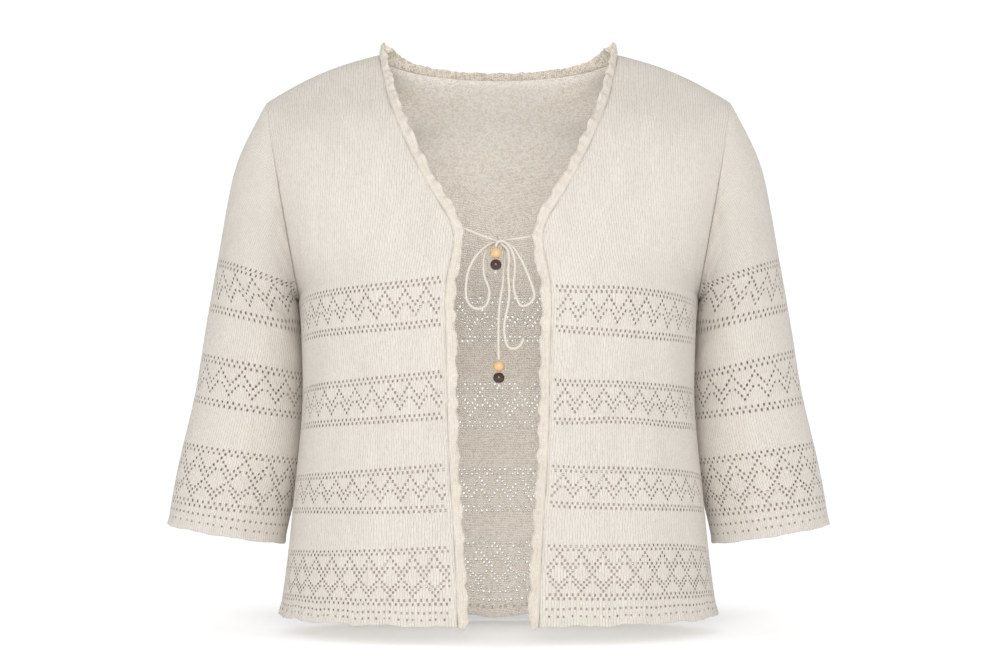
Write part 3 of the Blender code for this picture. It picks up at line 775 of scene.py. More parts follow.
    def body_sheet(self, rises: Array, shares: Array, is_back: bool) -> Array:
        """Surface of the left front, or of the left half of the back.

        Args:
            rises: heights up the cloth.
            shares: places across it, from the front edge or the middle of the back.
            is_back: True for the back.

        Returns:
            Rows of points.
        """
        body, chest = self.body, self.chest
        ends = np.concatenate((self.side_seam, self.armhole_point(chest["armhole_angle"])))
        wraps = np.concatenate((np.ones(len(body["rise"])), chest["wrap"]))
        if is_back:
            flipped = 2 * self.armhole_y - ends[:, 1]
            ends[:, 1] = np.where(wraps < 1, flipped, ends[:, 1])
            starts = [np.concatenate((body[k], chest[k])) for k in ("back_y", "back_z")]
            starts = np.stack((np.zeros(len(ends)), *starts), axis=-1)
            neck = shares < self.neck_share
            top = self.shoulder_line((shares - self.neck_share) / (1 - self.neck_share))
            top[neck] = self.neck_line(shares[neck] / self.neck_share)
            lean = np.clip(shares / self.neck_share, 0, 1)[:, None] ** 2
            toward = unit((1 - lean) * (0, -0.45, 0.9) + lean * (0, -1.0, 0))
        else:
            starts = [np.concatenate((body["edge_" + k], chest["edge_" + k])) for k in "xyz"]
            starts = np.stack(starts, axis=-1)
            top = self.shoulder_line(shares)
            toward = np.tile((0.0, 1.0, 0.0), (len(shares), 1))
        rows = [self.body_row(start, end, wrap, shares)
                for start, end, wrap in zip(starts, ends, wraps)]
        rows = np.array(rows + [top])
        last_chord = np.linalg.norm(rows[-1] - rows[-2], axis=-1, keepdims=True)
        slope = 1.1 * toward * last_chord / (self.shoulder_rise - chest["rise"][-1])
        levels = np.concatenate((body["rise"], chest["rise"], (self.shoulder_rise,)))
        sheet = cubic_through(levels, rows, rises, slope)
        side = self.side_points(rises)
        if is_back:
            above = rises > self.underarm_rise
            side[above, 1] = 2 * self.armhole_y - side[above, 1]
        return sheet + (side - sheet[:, -1])[:, None] * shares[None, :, None] ** 3

    def sleeve_sheet(self, shares: Array, angles: Array) -> tuple[Array, float]:
        """Surface of the left sleeve.

        Args:
            shares: places down it, from 0 at the armhole to 1 at the cuff.
            angles: places round it in degrees, from its top towards the front.

        Returns:
            A row of points for each share, and the length down its outer line.
        """
        size = self.sleeve
        outer = np.stack((size["outer_x"], size["outer_z"]), axis=-1)
        inner = np.stack((size["inner_x"], size["inner_z"]), axis=-1)
        turn = np.radians(angles)
        middle = (outer + inner)[:, None] / 2
        across = (outer - inner)[:, None] / 2 * np.cos(turn)[None, :, None]
        y = size["middle_y"][:, None] - size["depth"][:, None] / 2 * np.sin(turn)
        rings = np.stack(((middle + across)[..., 0], y, (middle + across)[..., 1]), axis=-1)
        rings = np.concatenate((self.armhole_point(angles)[None], rings))
        outer_line = np.concatenate((self.armhole_point(np.array((0.0,)))[:, ::2], outer))
        along = run_length(outer_line)
        return cubic_through(along, rings, shares * along[-1]), float(along[-1])


@dataclass
class Folds:
    """Soft folds and uneven hems that the worn cloth has."""

    hem_wave: float = 0.0009
    hem_wave_length: float = 0.047
    hem_wave_reach: float = 0.020
    short_share: float = 0.6      # height of a shorter wave on the hem's wave
    short_length: float = 8 / 19  # its length as a share
    half_width: float = 0.21
    girth: float = 0.38
    rows: dict = field(default_factory=lambda: table(
        "piece across up length spread lean height",
        ("left_front", 0.085, 0.060, 0.070, 0.018, 8.0, 0.0022),
        ("left_front", 0.125, 0.260, 0.060, 0.016, -28.0, 0.0018),
        ("left_front", 0.060, 0.450, 0.060, 0.014, -20.0, 0.0012),
        ("right_front", 0.070, 0.070, 0.080, 0.017, 4.0, 0.0020),
        ("right_front", 0.130, 0.235, 0.055, 0.015, -22.0, 0.0020),
        ("right_front", 0.065, 0.430, 0.070, 0.015, -16.0, 0.0013),
        ("back", 0.120, 0.110, 0.120, 0.022, -6.0, 0.0045),
        ("back", -0.090, 0.090, 0.110, 0.024, 8.0, 0.0050),
        ("back", 0.015, 0.070, 0.080, 0.020, 2.0, 0.0035),
        ("back", 0.110, 0.330, 0.060, 0.018, 40.0, 0.0025),
        ("back", -0.120, 0.320, 0.060, 0.018, -42.0, 0.0025),
        ("left_sleeve", 0.120, 0.190, 0.055, 0.014, 62.0, 0.0022),
        ("left_sleeve", 0.110, 0.245, 0.050, 0.013, 70.0, -0.0020),
        ("left_sleeve", 0.280, 0.215, 0.060, 0.016, -60.0, 0.0025),
        ("right_sleeve", 0.125, 0.180, 0.060, 0.014, 58.0, 0.0024),
        ("right_sleeve", 0.115, 0.240, 0.045, 0.012, 72.0, -0.0018),
        ("right_sleeve", 0.275, 0.225, 0.055, 0.017, -64.0, 0.0025),
    ))

    def height(self, piece: str, across: Array, up: Array) -> Array:
        """Height of a piece's soft folds at places across and up its cloth.

        Args:
            piece: the piece's name in the table.
            across: places across it, in metres.
            up: places up it, or down a sleeve, in metres.

        Returns:
            Heights in metres.
        """
        rows = self.rows
        height = np.zeros(np.broadcast(across, up).shape)
        for k in np.flatnonzero(rows["piece"] == piece):
            lean = math.radians(rows["lean"][k])
            dx = across - rows["across"][k]
            dz = up - rows["up"][k]
            beside = (dx * math.cos(lean) - dz * math.sin(lean)) / rows["spread"][k]
            beyond = (dx * math.sin(lean) + dz * math.cos(lean)) / rows["length"][k]
            height += rows["height"][k] * np.exp(-beside ** 2 - beyond ** 2)
        return height

    def hang(self, across: Array, up: Array, phase: float) -> Array:
        """How far an uneven hem or cuff hangs down, fading up the cloth.

        Args:
            across: places along the hem, in metres.
            up: places up from it, in metres.
            phase: start of its wave.

        Returns:
            Distances in metres.
        """
        short = self.short_length * self.hem_wave_length
        wave = waves(across, (1.0, self.hem_wave_length, phase),
                     (self.short_share, short, 2 * phase))
        return self.hem_wave * wave * np.exp(-up / self.hem_wave_reach)


# ---- the lace ----
class Band(Enum):
    """Charts of one repeat of the lace: each row's place from the top, and O for an eyelet."""

    ZIGZAG = (
        (0.0, "O.O.O.O."), (1.2, ".O.O.O.O"), (2.4, "....O..."), (3.4, "...O.O.."),
        (4.4, "..O...O."), (5.4, ".O.....O"), (6.2, "O..O.O.."), (7.05, "..O...O."),
        (7.95, ".O.....O"), (8.9, "O......."), (9.8, "........"), (10.7, "O.O.O.O."),
        (11.9, ".O.O.O.O"),
    )
    DIAMOND = (
        (0.0, "O.O.O.O."), (1.0, ".O.O.O.O"), (2.0, "....O..."), (3.0, "...O.O.."),
        (4.0, "..O...O."), (5.0, ".O.O.O.O"), (6.0, "O.O...O."), (7.0, ".O.....O"),
        (8.0, "O......."), (8.8, ".O.....O"), (9.5, "..O...O."), (10.2, ".O.O.O.O"),
        (10.95, "..O.O.O."), (11.85, "...O.O.."), (12.6, "....O..."), (13.9, ".O.O.O.O"),
        (15.0, "O.O.O.O."),
    )
    HEM_HOLES = ((0.0, "O.O.O.O."),)
    HEM_DOTS = ((0.0, ".O..O.O."),)

    def lines(self) -> Array:
        """Places of the lines between the chart's rows, from 0 at its top row's middle.

        Returns:
            One more place than the chart has rows.
        """
        places = np.array([row[0] for row in self.value])
        middles = (places[1:] + places[:-1]) / 2
        return np.concatenate(((2 * places[0] - middles[0],), middles,
                               (2 * places[-1] - middles[-1],)))


class Eyelet(IntEnum):
    """Kinds of cell in a lattice."""

    NONE = 0
    LEAN_LEFT = 1
    UPRIGHT = 2
    LEAN_RIGHT = 3
    BORDER = 4
    DIMPLE = 5


REPEAT = 8                    # columns in one repeat of the lace
HEM_ROW = 0.0032              # height of a row of eyelets near a hem
Charts = list[tuple[Band, int] | None]


@dataclass
class Lattice:
    """Row lines and column lines of one piece, and the eyelets in its cells."""

    up: Array            # place of each crossing up the cloth, row lines by column lines
    across: Array        # place of each crossing across it
    lace: Array          # for each row of cells, whether it uses every column line
    holes: Array         # the kind of each cell
    wales: Array         # wale place of each crossing, in metres
    courses: Array       # course place of each crossing, in metres
    closed: bool = False
    fine_ends: int = 4        # columns at each side that plain rows keep too


@dataclass
class LaceShell:
    """Builds a thin shell of knit with real eyelets on a lattice."""

    thickness: float = 0.0013
    hole_size: tuple[float, float] = (0.00113, 0.00190)
    border_size: tuple[float, float] = (0.00098, 0.00158)
    unlike: tuple[float, float] = (0.62, 1.18)       # smallest and largest eyelet to its size
    largest: tuple[float, float] = (0.70, 0.86)      # shares of a cell
    least_cell: tuple[float, float] = (0.0014, 0.0017)
    hole_dip: float = 0.00035     # how far an eyelet's rim sinks into the cloth
    dimple_depth: float = 0.0011
    ring: int = 8
    lean: float = 14.0            # degrees
    seed: int = 5

    def ring_places(self, kinds: Array, cells: Array) -> Array:
        """Places of the eyelets' rims in their cells.

        Args:
            kinds: the kind of each eyelet.
            cells: width and height of each eyelet's cell, in metres.

        Returns:
            Places across and up the cell from 0 to 1, for twice as many corners as a rim
            has: its own, then those of a smaller one inside it.
        """
        draw = np.random.default_rng(self.seed)
        turn = np.radians(180.0 / self.ring + 360.0 / self.ring * np.arange(self.ring))
        small = (kinds == Eyelet.BORDER) | (kinds == Eyelet.DIMPLE)
        size = np.where(small[:, None], self.border_size, self.hole_size)
        size = size * draw.uniform(*self.unlike, (len(kinds), 1)) * draw.uniform(
            0.9, 1.1, (len(kinds), 2))
        share = np.minimum(size / cells, self.largest) / 2
        shift = draw.uniform(-0.06, 0.06, (len(kinds), 2))
        lean = np.where(small, 0, kinds - 2) * self.lean + draw.normal(0, 5, len(kinds))
        slant = np.tan(np.radians(lean)) * cells[:, 1] / cells[:, 0]
        x = np.cos(turn) * share[:, :1]
        y = np.sin(turn) * share[:, 1:]
        x = x + y * slant[:, None]
        x, y = (np.concatenate((v, v * 0.55), axis=1) for v in (x, y))
        return np.stack((0.5 + shift[:, :1] + x, 0.5 + shift[:, 1:] + y), axis=-1)

    def faces(self, lattice: Lattice) -> tuple[list, list]:
        """Faces of the shell's outer skin.

        Args:
            lattice: the piece's lattice.

        Returns:
            Faces as lists of crossings (row line, column line) or (-1 - eyelet, corner),
            and the cells of the eyelets.
        """
        rows, columns = lattice.holes.shape
        lace_line = np.zeros(rows + 1, bool)
        lace_line[:-1] |= lattice.lace
        lace_line[1:] |= lattice.lace
        ends = 0 if lattice.closed else lattice.fine_ends
        faces, cells = [], []
        for r in range(rows):
            c = 0
            while c < columns:
                if lattice.holes[r, c]:
                    dimple = lattice.holes[r, c] == Eyelet.DIMPLE
                    faces += self.eyelet_faces(r, c, -1 - len(cells), dimple)
                    cells.append((r, c))
                wide = not lattice.lace[r] and ends <= c < columns - ends
                step = 2 if wide else 1
                if not lattice.holes[r, c]:
                    low, high = ([(r + k, c + 1)] if wide and lace_line[r + k] else []
                                 for k in (0, 1))
                    faces.append([(r, c), *low, (r, c + step), (r + 1, c + step), *high,
                                  (r + 1, c)])
                c += step
        return faces, cells

    def eyelet_faces(self, r: int, c: int, hole: int, dimple: bool) -> list:
        """Faces of one cell round its eyelet.

        Args:
            r: the cell's row.
            c: its column.
            hole: the eyelet's mark in a face.
            dimple: whether it is only a deep dimple.

        Returns:
            The faces, each a list of corners.
        """
        corners = [(r, c + 1), (r + 1, c + 1), (r + 1, c), (r, c)]
        faces = []
        for k, corner in enumerate(corners):
            arc = [(hole, (6 + 2 * k + i) % 8) for i in range(3)]
            faces.append([corner, arc[1], arc[0]])
            faces.append([corner, corners[(k + 1) % 4], arc[2], arc[1]])
        if dimple:
            faces += [[(hole, k), (hole, (k + 1) % 8), (hole, 8 + (k + 1) % 8), (hole, 8 + k)]
                      for k in range(8)]
            faces.append([(hole, 8 + k) for k in range(8)])
        return faces

    def build(self, name: str, lattice: Lattice, surface: Surface, mirror: Array,
              finishes: Finishes, lift: Array, crease_shade: Array | float = 0.0
              ) -> Item:
        """Build the shell as an object.

        Args:
            name: the piece's name.
            lattice: its lattice.
            surface: the form that it lies on.
            mirror: factors that carry the left-hand form to this side.
            finishes: the materials.
            lift: how far each crossing stands off the form, in metres.
            crease_shade: share of painted shade at each crossing, from 0 to 1, in creases and
                beside seams.

        Returns:
            The object, with its Solidify modifier.
        """
        normals = surface.normal_at(lattice.up, lattice.across)
        points = surface.at(lattice.up, lattice.across) + normals * lift[..., None]
        size = np.linalg.norm([points[:-1, 1:] - points[:-1, :-1],
                               points[1:, :-1] - points[:-1, :-1]], axis=-1)
        lattice.holes[(size < np.array(self.least_cell)[:, None, None]).any(axis=0)] = 0
        faces, cells = self.faces(lattice)
        r, c = np.array(cells).T
        kinds = lattice.holes[r, c]
        size = size[:, r, c].T
        places = self.ring_places(kinds, size)
        s, t = places[..., :1], places[..., 1:]

        def inside(grid: Array) -> Array:
            """Read a grid of crossings at the rims' places."""
            low, high = (grid[i, c, None] * (1 - s) + grid[i, c + 1, None] * s for i in (r, r + 1))
            return low * (1 - t) + high * t

        depth = np.full(places.shape[:2], self.hole_dip)
        depth[:, self.ring:] = self.dimple_depth
        # Painted shade: full on the eyelets' rims and in the dimples, a little less on a dimple's
        # top rim.
        painted_shade_share = np.zeros_like(depth)
        painted_shade_share[:, :self.ring] = np.where(kinds == Eyelet.DIMPLE, 0.85, 1.0)[:, None]
        painted_shade_share[:, self.ring:] = 1.0
        maps = np.stack((lattice.wales, lattice.courses), axis=-1)
        skin = {
            "points": (points * mirror, (inside(points) - depth[..., None]
                                         * unit(inside(normals))) * mirror),
            "maps": (maps, inside(maps)),
            "painted_shade_share": (np.broadcast_to(crease_shade, points.shape[:2]), painted_shade_share),
        }
        if mirror[0] * surface.outward < 0:
            faces = [face[::-1] for face in faces]
        return self.add_mesh(name, skin, faces, lattice.closed, finishes)

    def add_mesh(self, name: str, skin: dict, faces: list, closed: bool,
                 finishes: Finishes) -> Item:
        """Turn crossings, rims and faces into a mesh with its knit map.

        Args:
            name: the piece's name.
            skin: points, knit map places and share of painted shade, each for the
            crossings and for the rims.
            faces: the faces, as LaceShell.faces gives them.
            closed: whether the last column line is the first.
            finishes: the materials.

        Returns:
            The object.
        """
        points, maps, painted_shade_share = (skin[key] for key in ("points", "maps", "painted_shade_share"))
        loop = points[0].shape[1] - 1 if closed else points[0].shape[1]
        numbers: dict[tuple[int, int], int] = {}
        places, shade_shares, ids, uvs = [], [], [], []
        for face in faces:
            corners = []
            for a, b in face:
                rim, row = (1, -1 - a) if a < 0 else (0, a)
                key = (a, b) if rim else (a, b % loop)
                if key not in numbers:
                    numbers[key] = len(places)
                    places.append(points[rim][row, b])
                    shade_shares.append(painted_shade_share[rim][row, b])
                corners.append(numbers[key])
                uvs.append(maps[rim][row, b])
            ids.append(corners)
        item = add_item(name, np.array(places).tolist(), ids, [finishes.face, finishes.purl],
                        uvs)
        item.data.attributes.new("painted_shade_share", "FLOAT", "POINT").data.foreach_set("value", shade_shares)
        wall = item.modifiers.new("thickness", "SOLIDIFY")
        wall.thickness = self.thickness
        wall.offset = -1.0
        wall.material_offset = 1
        wall.material_offset_rim = 0
        return item


def hem_roll(distance: Array, height: float = 0.0009, reach: float = 0.0020) -> Array:
    """Small roll of cloth along a free edge, at distances from it."""
    return height * bump(distance - reach, reach)


def seam_dip(distance: Array, depth: float = 0.0004, reach: float = 0.0020) -> Array:
    """How far the cloth sinks towards a seam, at distances from it."""
    return -depth * bump(distance, reach)


def chart_holes(charts: Charts, columns: Array, margin: Array) -> Array:
    """Eyelets of a lattice's cells.

    Args:
        charts: (band, chart row) or None for each row of cells.
        columns: place in the repeat of each column of cells.
        margin: columns that stay plain.

    Returns:
        The kind of each cell.
    """
    holes = np.zeros((len(charts), len(columns)), int)
    for r, chart in enumerate(charts):
        if chart is None:
            continue
        band, row = chart
        marks = band.value[row][1]
        for c, place in enumerate(columns):
            if marks[place] != "O" or margin[c]:
                continue
            if band is Band.HEM_DOTS:
                holes[r, c] = Eyelet.DIMPLE
            elif row < 2 or row >= len(band.value) - 2:
                holes[r, c] = Eyelet.BORDER
            else:
                holes[r, c] = Eyelet(2 + int(np.sign(place - 4)) * bool(place))
    return holes


def lace_lift(charts: Charts, lines: Array, places: Array,
              is_down: bool = False) -> Array:
    """How far each crossing moves up, for the inner line of a zigzag.

    Args:
        charts: (band, chart row) or None for each row of cells.
        lines: places of the row lines, row lines by column lines.
        places: place in the repeat of each column line, from its first cell.
        is_down: True if the row lines go down the cloth.

    Returns:
        Moves in metres, row lines by column lines.
    """
    moves = np.zeros_like(lines)
    reach = np.abs((places - 4.5 + REPEAT / 2) % REPEAT - REPEAT / 2)
    gain = np.interp(reach, (0.0, 1.0, 2.0, 3.0, 4.0), (0.30, 0.44, 0.34, 0.26, 0.0))
    for r, chart in enumerate(charts):
        if chart and chart[0] is Band.ZIGZAG:
            pitch = np.abs(lines[r + 1] - lines[r])
            half = -0.5 if is_down else 0.5
            for line, row in ((r, chart[1] + half), (r + 1, chart[1] - half)):
                near = np.clip(1 - np.abs(row - (5 + reach)) / 2.4, 0, 1)
                moves[line] = near * gain * pitch
    return moves


class RowLines:
    """Row lines of a lattice, added in order, and what each row of cells holds."""

    def __init__(self, *lines: Array) -> None:
        """Start with one line, or with several and plain rows between them."""
        self.lines = list(lines)
        self.charts: Charts = [None] * (len(lines) - 1)

    def add(self, line: Array, chart: tuple[Band, int] | None = None) -> None:
        """Add a row of cells, up to a line."""
        self.lines.append(line)
        self.charts.append(chart)

    def plain_to(self, line: Array, step: float, power: float = 1.0) -> None:
        """Add plain rows up to a line.

        Args:
            line: its place at each column line.
            step: about how high the rows are.
            power: above 1 for rows that start closer together.
        """
        start = self.lines[-1]
        count = max(1, round(float((line - start).max()) / step))
        for k in range(1, count + 1):
            self.add(start + (line - start) * (k / count) ** power)


@dataclass
class BodyLace:
    """Heights of the lace bands up one panel, at four places across it.

    Each band has the heights of its top border row and of its lowest one.
    """

    zigzag_high: tuple
    zigzag_middle: tuple
    zigzag_low: tuple
    diamond: tuple
    holes: tuple
    dots: tuple
    stations: tuple = (0.0, 0.3, 0.6, 1.0)
    plain_step: float = 0.0070
    hem_lines: tuple = (0.0009, 0.0018, 0.0030)

    def rows(self, shares: Array, top: float) -> tuple[Array, Charts]:
        """Row lines from the hem up.

        Args:
            shares: places across the panel of the column lines.
            top: height of the last row line.

        Returns:
            Heights of the lines, row lines by column lines, and (band, chart row) or None
            for each row of cells.
        """
        rows = RowLines(*(np.full(shares.size, height) for height in (0.0, *self.hem_lines)))

        knots = np.concatenate((-np.array(self.stations[:0:-1]), self.stations))

        def across(heights: tuple) -> Array:
            """Height at each column line of a smooth line through the stations' heights."""
            values = np.concatenate((heights[:0:-1], heights))
            return cubic_through(knots, values, np.abs(shares))

        for band, heights in ((Band.HEM_DOTS, self.dots), (Band.HEM_HOLES, self.holes)):
            middle = across(heights)
            rows.plain_to(middle - HEM_ROW / 2, self.plain_step)
            rows.add(middle + HEM_ROW / 2, (band, 0))
        for band, (high, low) in ((Band.DIAMOND, self.diamond), (Band.ZIGZAG, self.zigzag_low),
                                  (Band.ZIGZAG, self.zigzag_middle),
                                  (Band.ZIGZAG, self.zigzag_high)):
            high, low = across(high), across(low)
            places = band.lines()
            pitch = (high - low) / band.value[-1][0]
            rows.plain_to(high - places[-1] * pitch, self.plain_step)
            for row in range(len(places) - 2, -1, -1):
                rows.add(high - places[row] * pitch, (band, row))
        rows.plain_to(np.full(shares.size, top), self.plain_step)
        return np.array(rows.lines), rows.charts


@dataclass
class BodyPanels:
    """The two fronts and the back."""

    form: GarmentForm
    folds: Folds
    finishes: Finishes
    shell: LaceShell = field(default_factory=LaceShell)
    back_shell: LaceShell = field(default_factory=lambda: LaceShell(
        hole_size=(0.0023, 0.0027), border_size=(0.0021, 0.0022), unlike=(0.40, 1.20),
        largest=(0.80, 0.84), hole_dip=0.00004))
    front_columns: int = 88
    back_columns: int = 192
    phases: dict = field(default_factory=lambda: {"left": 0.7, "right": 2.9, "back": 2.0})
    first_valley: dict = field(default_factory=lambda: {"left": 2, "right": 3, "back": 4})
    crown: float = 0.0028
    ruffle_height: float = 0.0011
    ruffle_reach: float = 0.011
    ruffle_length: float = 0.0145
    ruffle_swell: tuple = (0.7, 0.033, 2.0)           # height, length and phase
    underarm_bump: float = 0.0016
    underarm_drop: float = 0.006
    underarm_reach: tuple = (0.016, 0.012)            # across and up the cloth
    # Painted shade on the front beside the edging's seam: its strength and its reach.
    edge_shade: float = 0.38
    edge_shade_reach: float = 0.0020
    still_edge: float = 0.15                          # share of a panel
    still_top: float = 0.06
    dense_rows: int = 420
    dense_columns: int = 121
    lace: dict = field(default_factory=lambda: {
        "right": BodyLace(((0.3260, 0.3255, 0.3235, 0.3180), (0.2820, 0.2820, 0.2815, 0.2795)),
                          ((0.2380, 0.2375, 0.2350, 0.2320), (0.1950, 0.1950, 0.1940, 0.1930)),
                          ((0.1510, 0.1500, 0.1475, 0.1460), (0.1090, 0.1100, 0.1110, 0.1115)),
                          ((0.0745, 0.0740, 0.0725, 0.0720), (0.0215, 0.0212, 0.0212, 0.0210)),
                          (0.0132, 0.0133, 0.0138, 0.0142), (0.0066, 0.0068, 0.0074, 0.0078)),
        "left": BodyLace(((0.3178, 0.3226, 0.3208, 0.3180), (0.2765, 0.2775, 0.2770, 0.2795)),
                         ((0.2303, 0.2332, 0.2325, 0.2320), (0.1902, 0.1950, 0.1932, 0.1930)),
                         ((0.1500, 0.1517, 0.1510, 0.1460), (0.1130, 0.1138, 0.1135, 0.1115)),
                         ((0.0760, 0.0782, 0.0788, 0.0720), (0.0268, 0.0264, 0.0258, 0.0230)),
                         (0.0168, 0.0172, 0.0172, 0.0152), (0.0098, 0.0096, 0.0096, 0.0085)),
        "back": BodyLace(((0.3250, 0.3245, 0.3225, 0.3180), (0.2820, 0.2820, 0.2810, 0.2795)),
                         ((0.2380, 0.2370, 0.2350, 0.2320), (0.1950, 0.1950, 0.1940, 0.1930)),
                         ((0.1510, 0.1500, 0.1480, 0.1460), (0.1090, 0.1095, 0.1105, 0.1115)),
                         ((0.0756, 0.0750, 0.0735, 0.0720), (0.0260, 0.0255, 0.0240, 0.0215)),
                         (0.0176, 0.0172, 0.0160, 0.0147), (0.0105, 0.0100, 0.0090, 0.0080),
                         plain_step=0.0088),
    })

    def surface(self, word: str) -> Surface:
        """Form of a panel with its folds and its uneven hem, still at its edges.

        Args:
            word: left or right for the left-hand form of that front, or back.

        Returns:
            The form, which for the back runs from the wearer's right to the wearer's left.
        """
        is_back = word == "back"
        outward = -1.0 if is_back else 1.0
        rises = np.linspace(0, self.form.shoulder_rise, self.dense_rows)
        shares = np.linspace(0, 1, self.dense_columns)
        sheet = self.form.body_sheet(rises, shares, is_back)
        if is_back:
            sheet = np.concatenate((sheet[:, :0:-1] * MIRROR, sheet), axis=1)
            shares = np.concatenate((-shares[:0:-1], shares))
        edge = smooth_step((1 - np.abs(shares)) / self.still_edge)
        if not is_back:
            edge = edge * smooth_step(shares / self.still_edge)
        top = smooth_step((self.form.shoulder_rise - rises) / self.still_top)
        across, up = (shares * self.folds.half_width)[None, :], rises[:, None]
        piece = word if is_back else word + "_front"
        height = self.folds.height(piece, across, up) * top[:, None] * edge
        sheet = sheet + Surface(rises, shares, sheet, outward).normals * height[..., None]
        sheet[..., 2] -= self.folds.hang(across, up, self.phases[word]) * edge
        return Surface(rises, shares, sheet, outward)

    def column_lines(self, count: int) -> Array:
        """Places of the column lines in columns, closer together beside the seams."""
        ends = np.array((0.0, 0.4, 0.8, 1.3))
        return np.concatenate((ends, np.arange(2, count - 1), count - ends[::-1]))

    def wale_map(self, surface: Surface, up: Array, across: Array,
                 width: float) -> Array:
        """Wale places that follow the columns below the underarm and stand upright above.

        Args:
            surface: the panel's form.
            up: heights of the crossings.
            across: places across the cloth of the crossings.
            width: width of the cloth in wales, in metres, for across from 0 to 1.

        Returns:
            Wale places in metres.
        """
        rise = self.form.underarm_rise
        is_back = across.min() < 0
        dense = np.linspace(across.min(), 1, 161)
        middle = 0.0 if is_back else 0.62
        base = surface.at(np.full(dense.size, rise), dense)
        anchor_x = np.interp(middle, dense, base[:, 0])
        scale = width * (2 if is_back else 1) / run_length(base)[-1]
        wales = across * width
        for r in np.flatnonzero(up[:, 0] > rise):
            row = surface.at(np.interp(dense, across[r], up[r]), dense)
            length = run_length(row)
            start = np.interp(anchor_x, row[:, 0], length)
            wales[r] = middle * width + (np.interp(across[r], dense, length) - start) * scale
        return wales

    def shoulder_crown(self, up: Array, shares: Array) -> Array:
        """Height of the cloth over the shoulder seam, by shares from its neck end."""
        near = bump(self.form.shoulder_rise - up, 0.035)
        return self.crown * np.sin(np.pi * np.clip(shares, 0, 1)) * near

    def seam_lift(self, surface: Surface, up: Array, across: Array) -> Array:
        """How far each crossing stands off the form at seams and hem, and at the underarm.

        Args:
            surface: the panel's form.
            up: heights of the crossings.
            across: places across the cloth of the crossings.

        Returns:
            Distances in metres.
        """
        is_back = across.min() < 0
        row_length = run_lengths(surface.points)
        width = np.interp(up, surface.up, row_length) / (2 if is_back else 1)
        lift = seam_dip((1 - across) * width)
        lift += seam_dip((1 + across) * width) if is_back else seam_dip(across * width)
        lift += seam_dip(self.form.shoulder_rise - up) + hem_roll(up)
        lift += self.ruffle(across * width, up)
        neck = self.form.neck_share if is_back else 0.0
        lift += self.shoulder_crown(up, (np.abs(across) - neck) / (1 - neck))
        below = bump(self.form.underarm_rise - up - self.underarm_drop, self.underarm_reach[1])
        side = bump((1 - np.abs(across)) * width, self.underarm_reach[0])
        return lift + self.underarm_bump * below * side

    def ruffle(self, along: Array, up: Array) -> Array:
        """Height of the hem's small ruffles.

        Args:
            along: places along the hem, in metres.
            up: places up from it, in metres.

        Returns:
            Heights in metres.
        """
        height = waves(along, (1.0, self.ruffle_length, 1.2 * np.sin(along * 61)),
                       self.ruffle_swell)
        return self.ruffle_height * height * bump(up, self.ruffle_reach)

    def panel(self, word: str, name: str, mirror: Array) -> Item:
        """Build one panel.

        Args:
            word: left, right or back.
            name: the piece's name.
            mirror: factors that carry the left-hand form to this side.

        Returns:
            The panel's object.
        """
        is_back = word == "back"
        surface = self.surface(word)
        columns = self.back_columns if is_back else self.front_columns
        places = self.column_lines(columns)
        shares = places / columns * 2 - 1 if is_back else places / columns
        up, charts = self.lace[word].rows(shares, self.form.shoulder_rise)
        across = np.tile(shares, (len(up), 1))
        cells = (places[:-1] + places[1:]) / 2
        valley = self.first_valley[word]
        repeat = np.floor(cells - valley).astype(int) % REPEAT
        holes = chart_holes(charts, repeat, (cells < 2) | (cells > columns - 2))
        up = up + lace_lift(charts, up, places - valley)
        width = columns * WALE / (2 if is_back else 1)
        lattice = Lattice(up, across, np.array([c is not None for c in charts]), holes,
                          self.wale_map(surface, up, across, width), up)
        shell = self.back_shell if is_back else self.shell
        # Painted shade along the front's edge beside the edging's seam, stronger and weaker along
        # it.
        crease_shade = 0.0
        if not is_back:
            beside = across * np.interp(up, surface.up, run_lengths(surface.points))
            crease_shade = self.edge_shade + 0.18 * np.sin(up * 97 + 1.0) + 0.12 * np.sin(up * 260)
            crease_shade = crease_shade * bump(beside, self.edge_shade_reach)
        return shell.build(name, lattice, surface, mirror, self.finishes,
                           self.seam_lift(surface, up, across), crease_shade)

    def build(self) -> list[Item]:
        """Build the fronts and the back and say what they stand for.

        Returns:
            The three panels.
        """
        made = []
        for word, mirror in SIDES:
            piece = self.panel(word, f"{word}_front_lace", mirror)
            declare(piece, f"{word}_front")
            made.append(piece)
        back = self.panel("back", "back_panel_lace", np.ones(3))
        declare(back, "back_panel")
        return [*made, back]


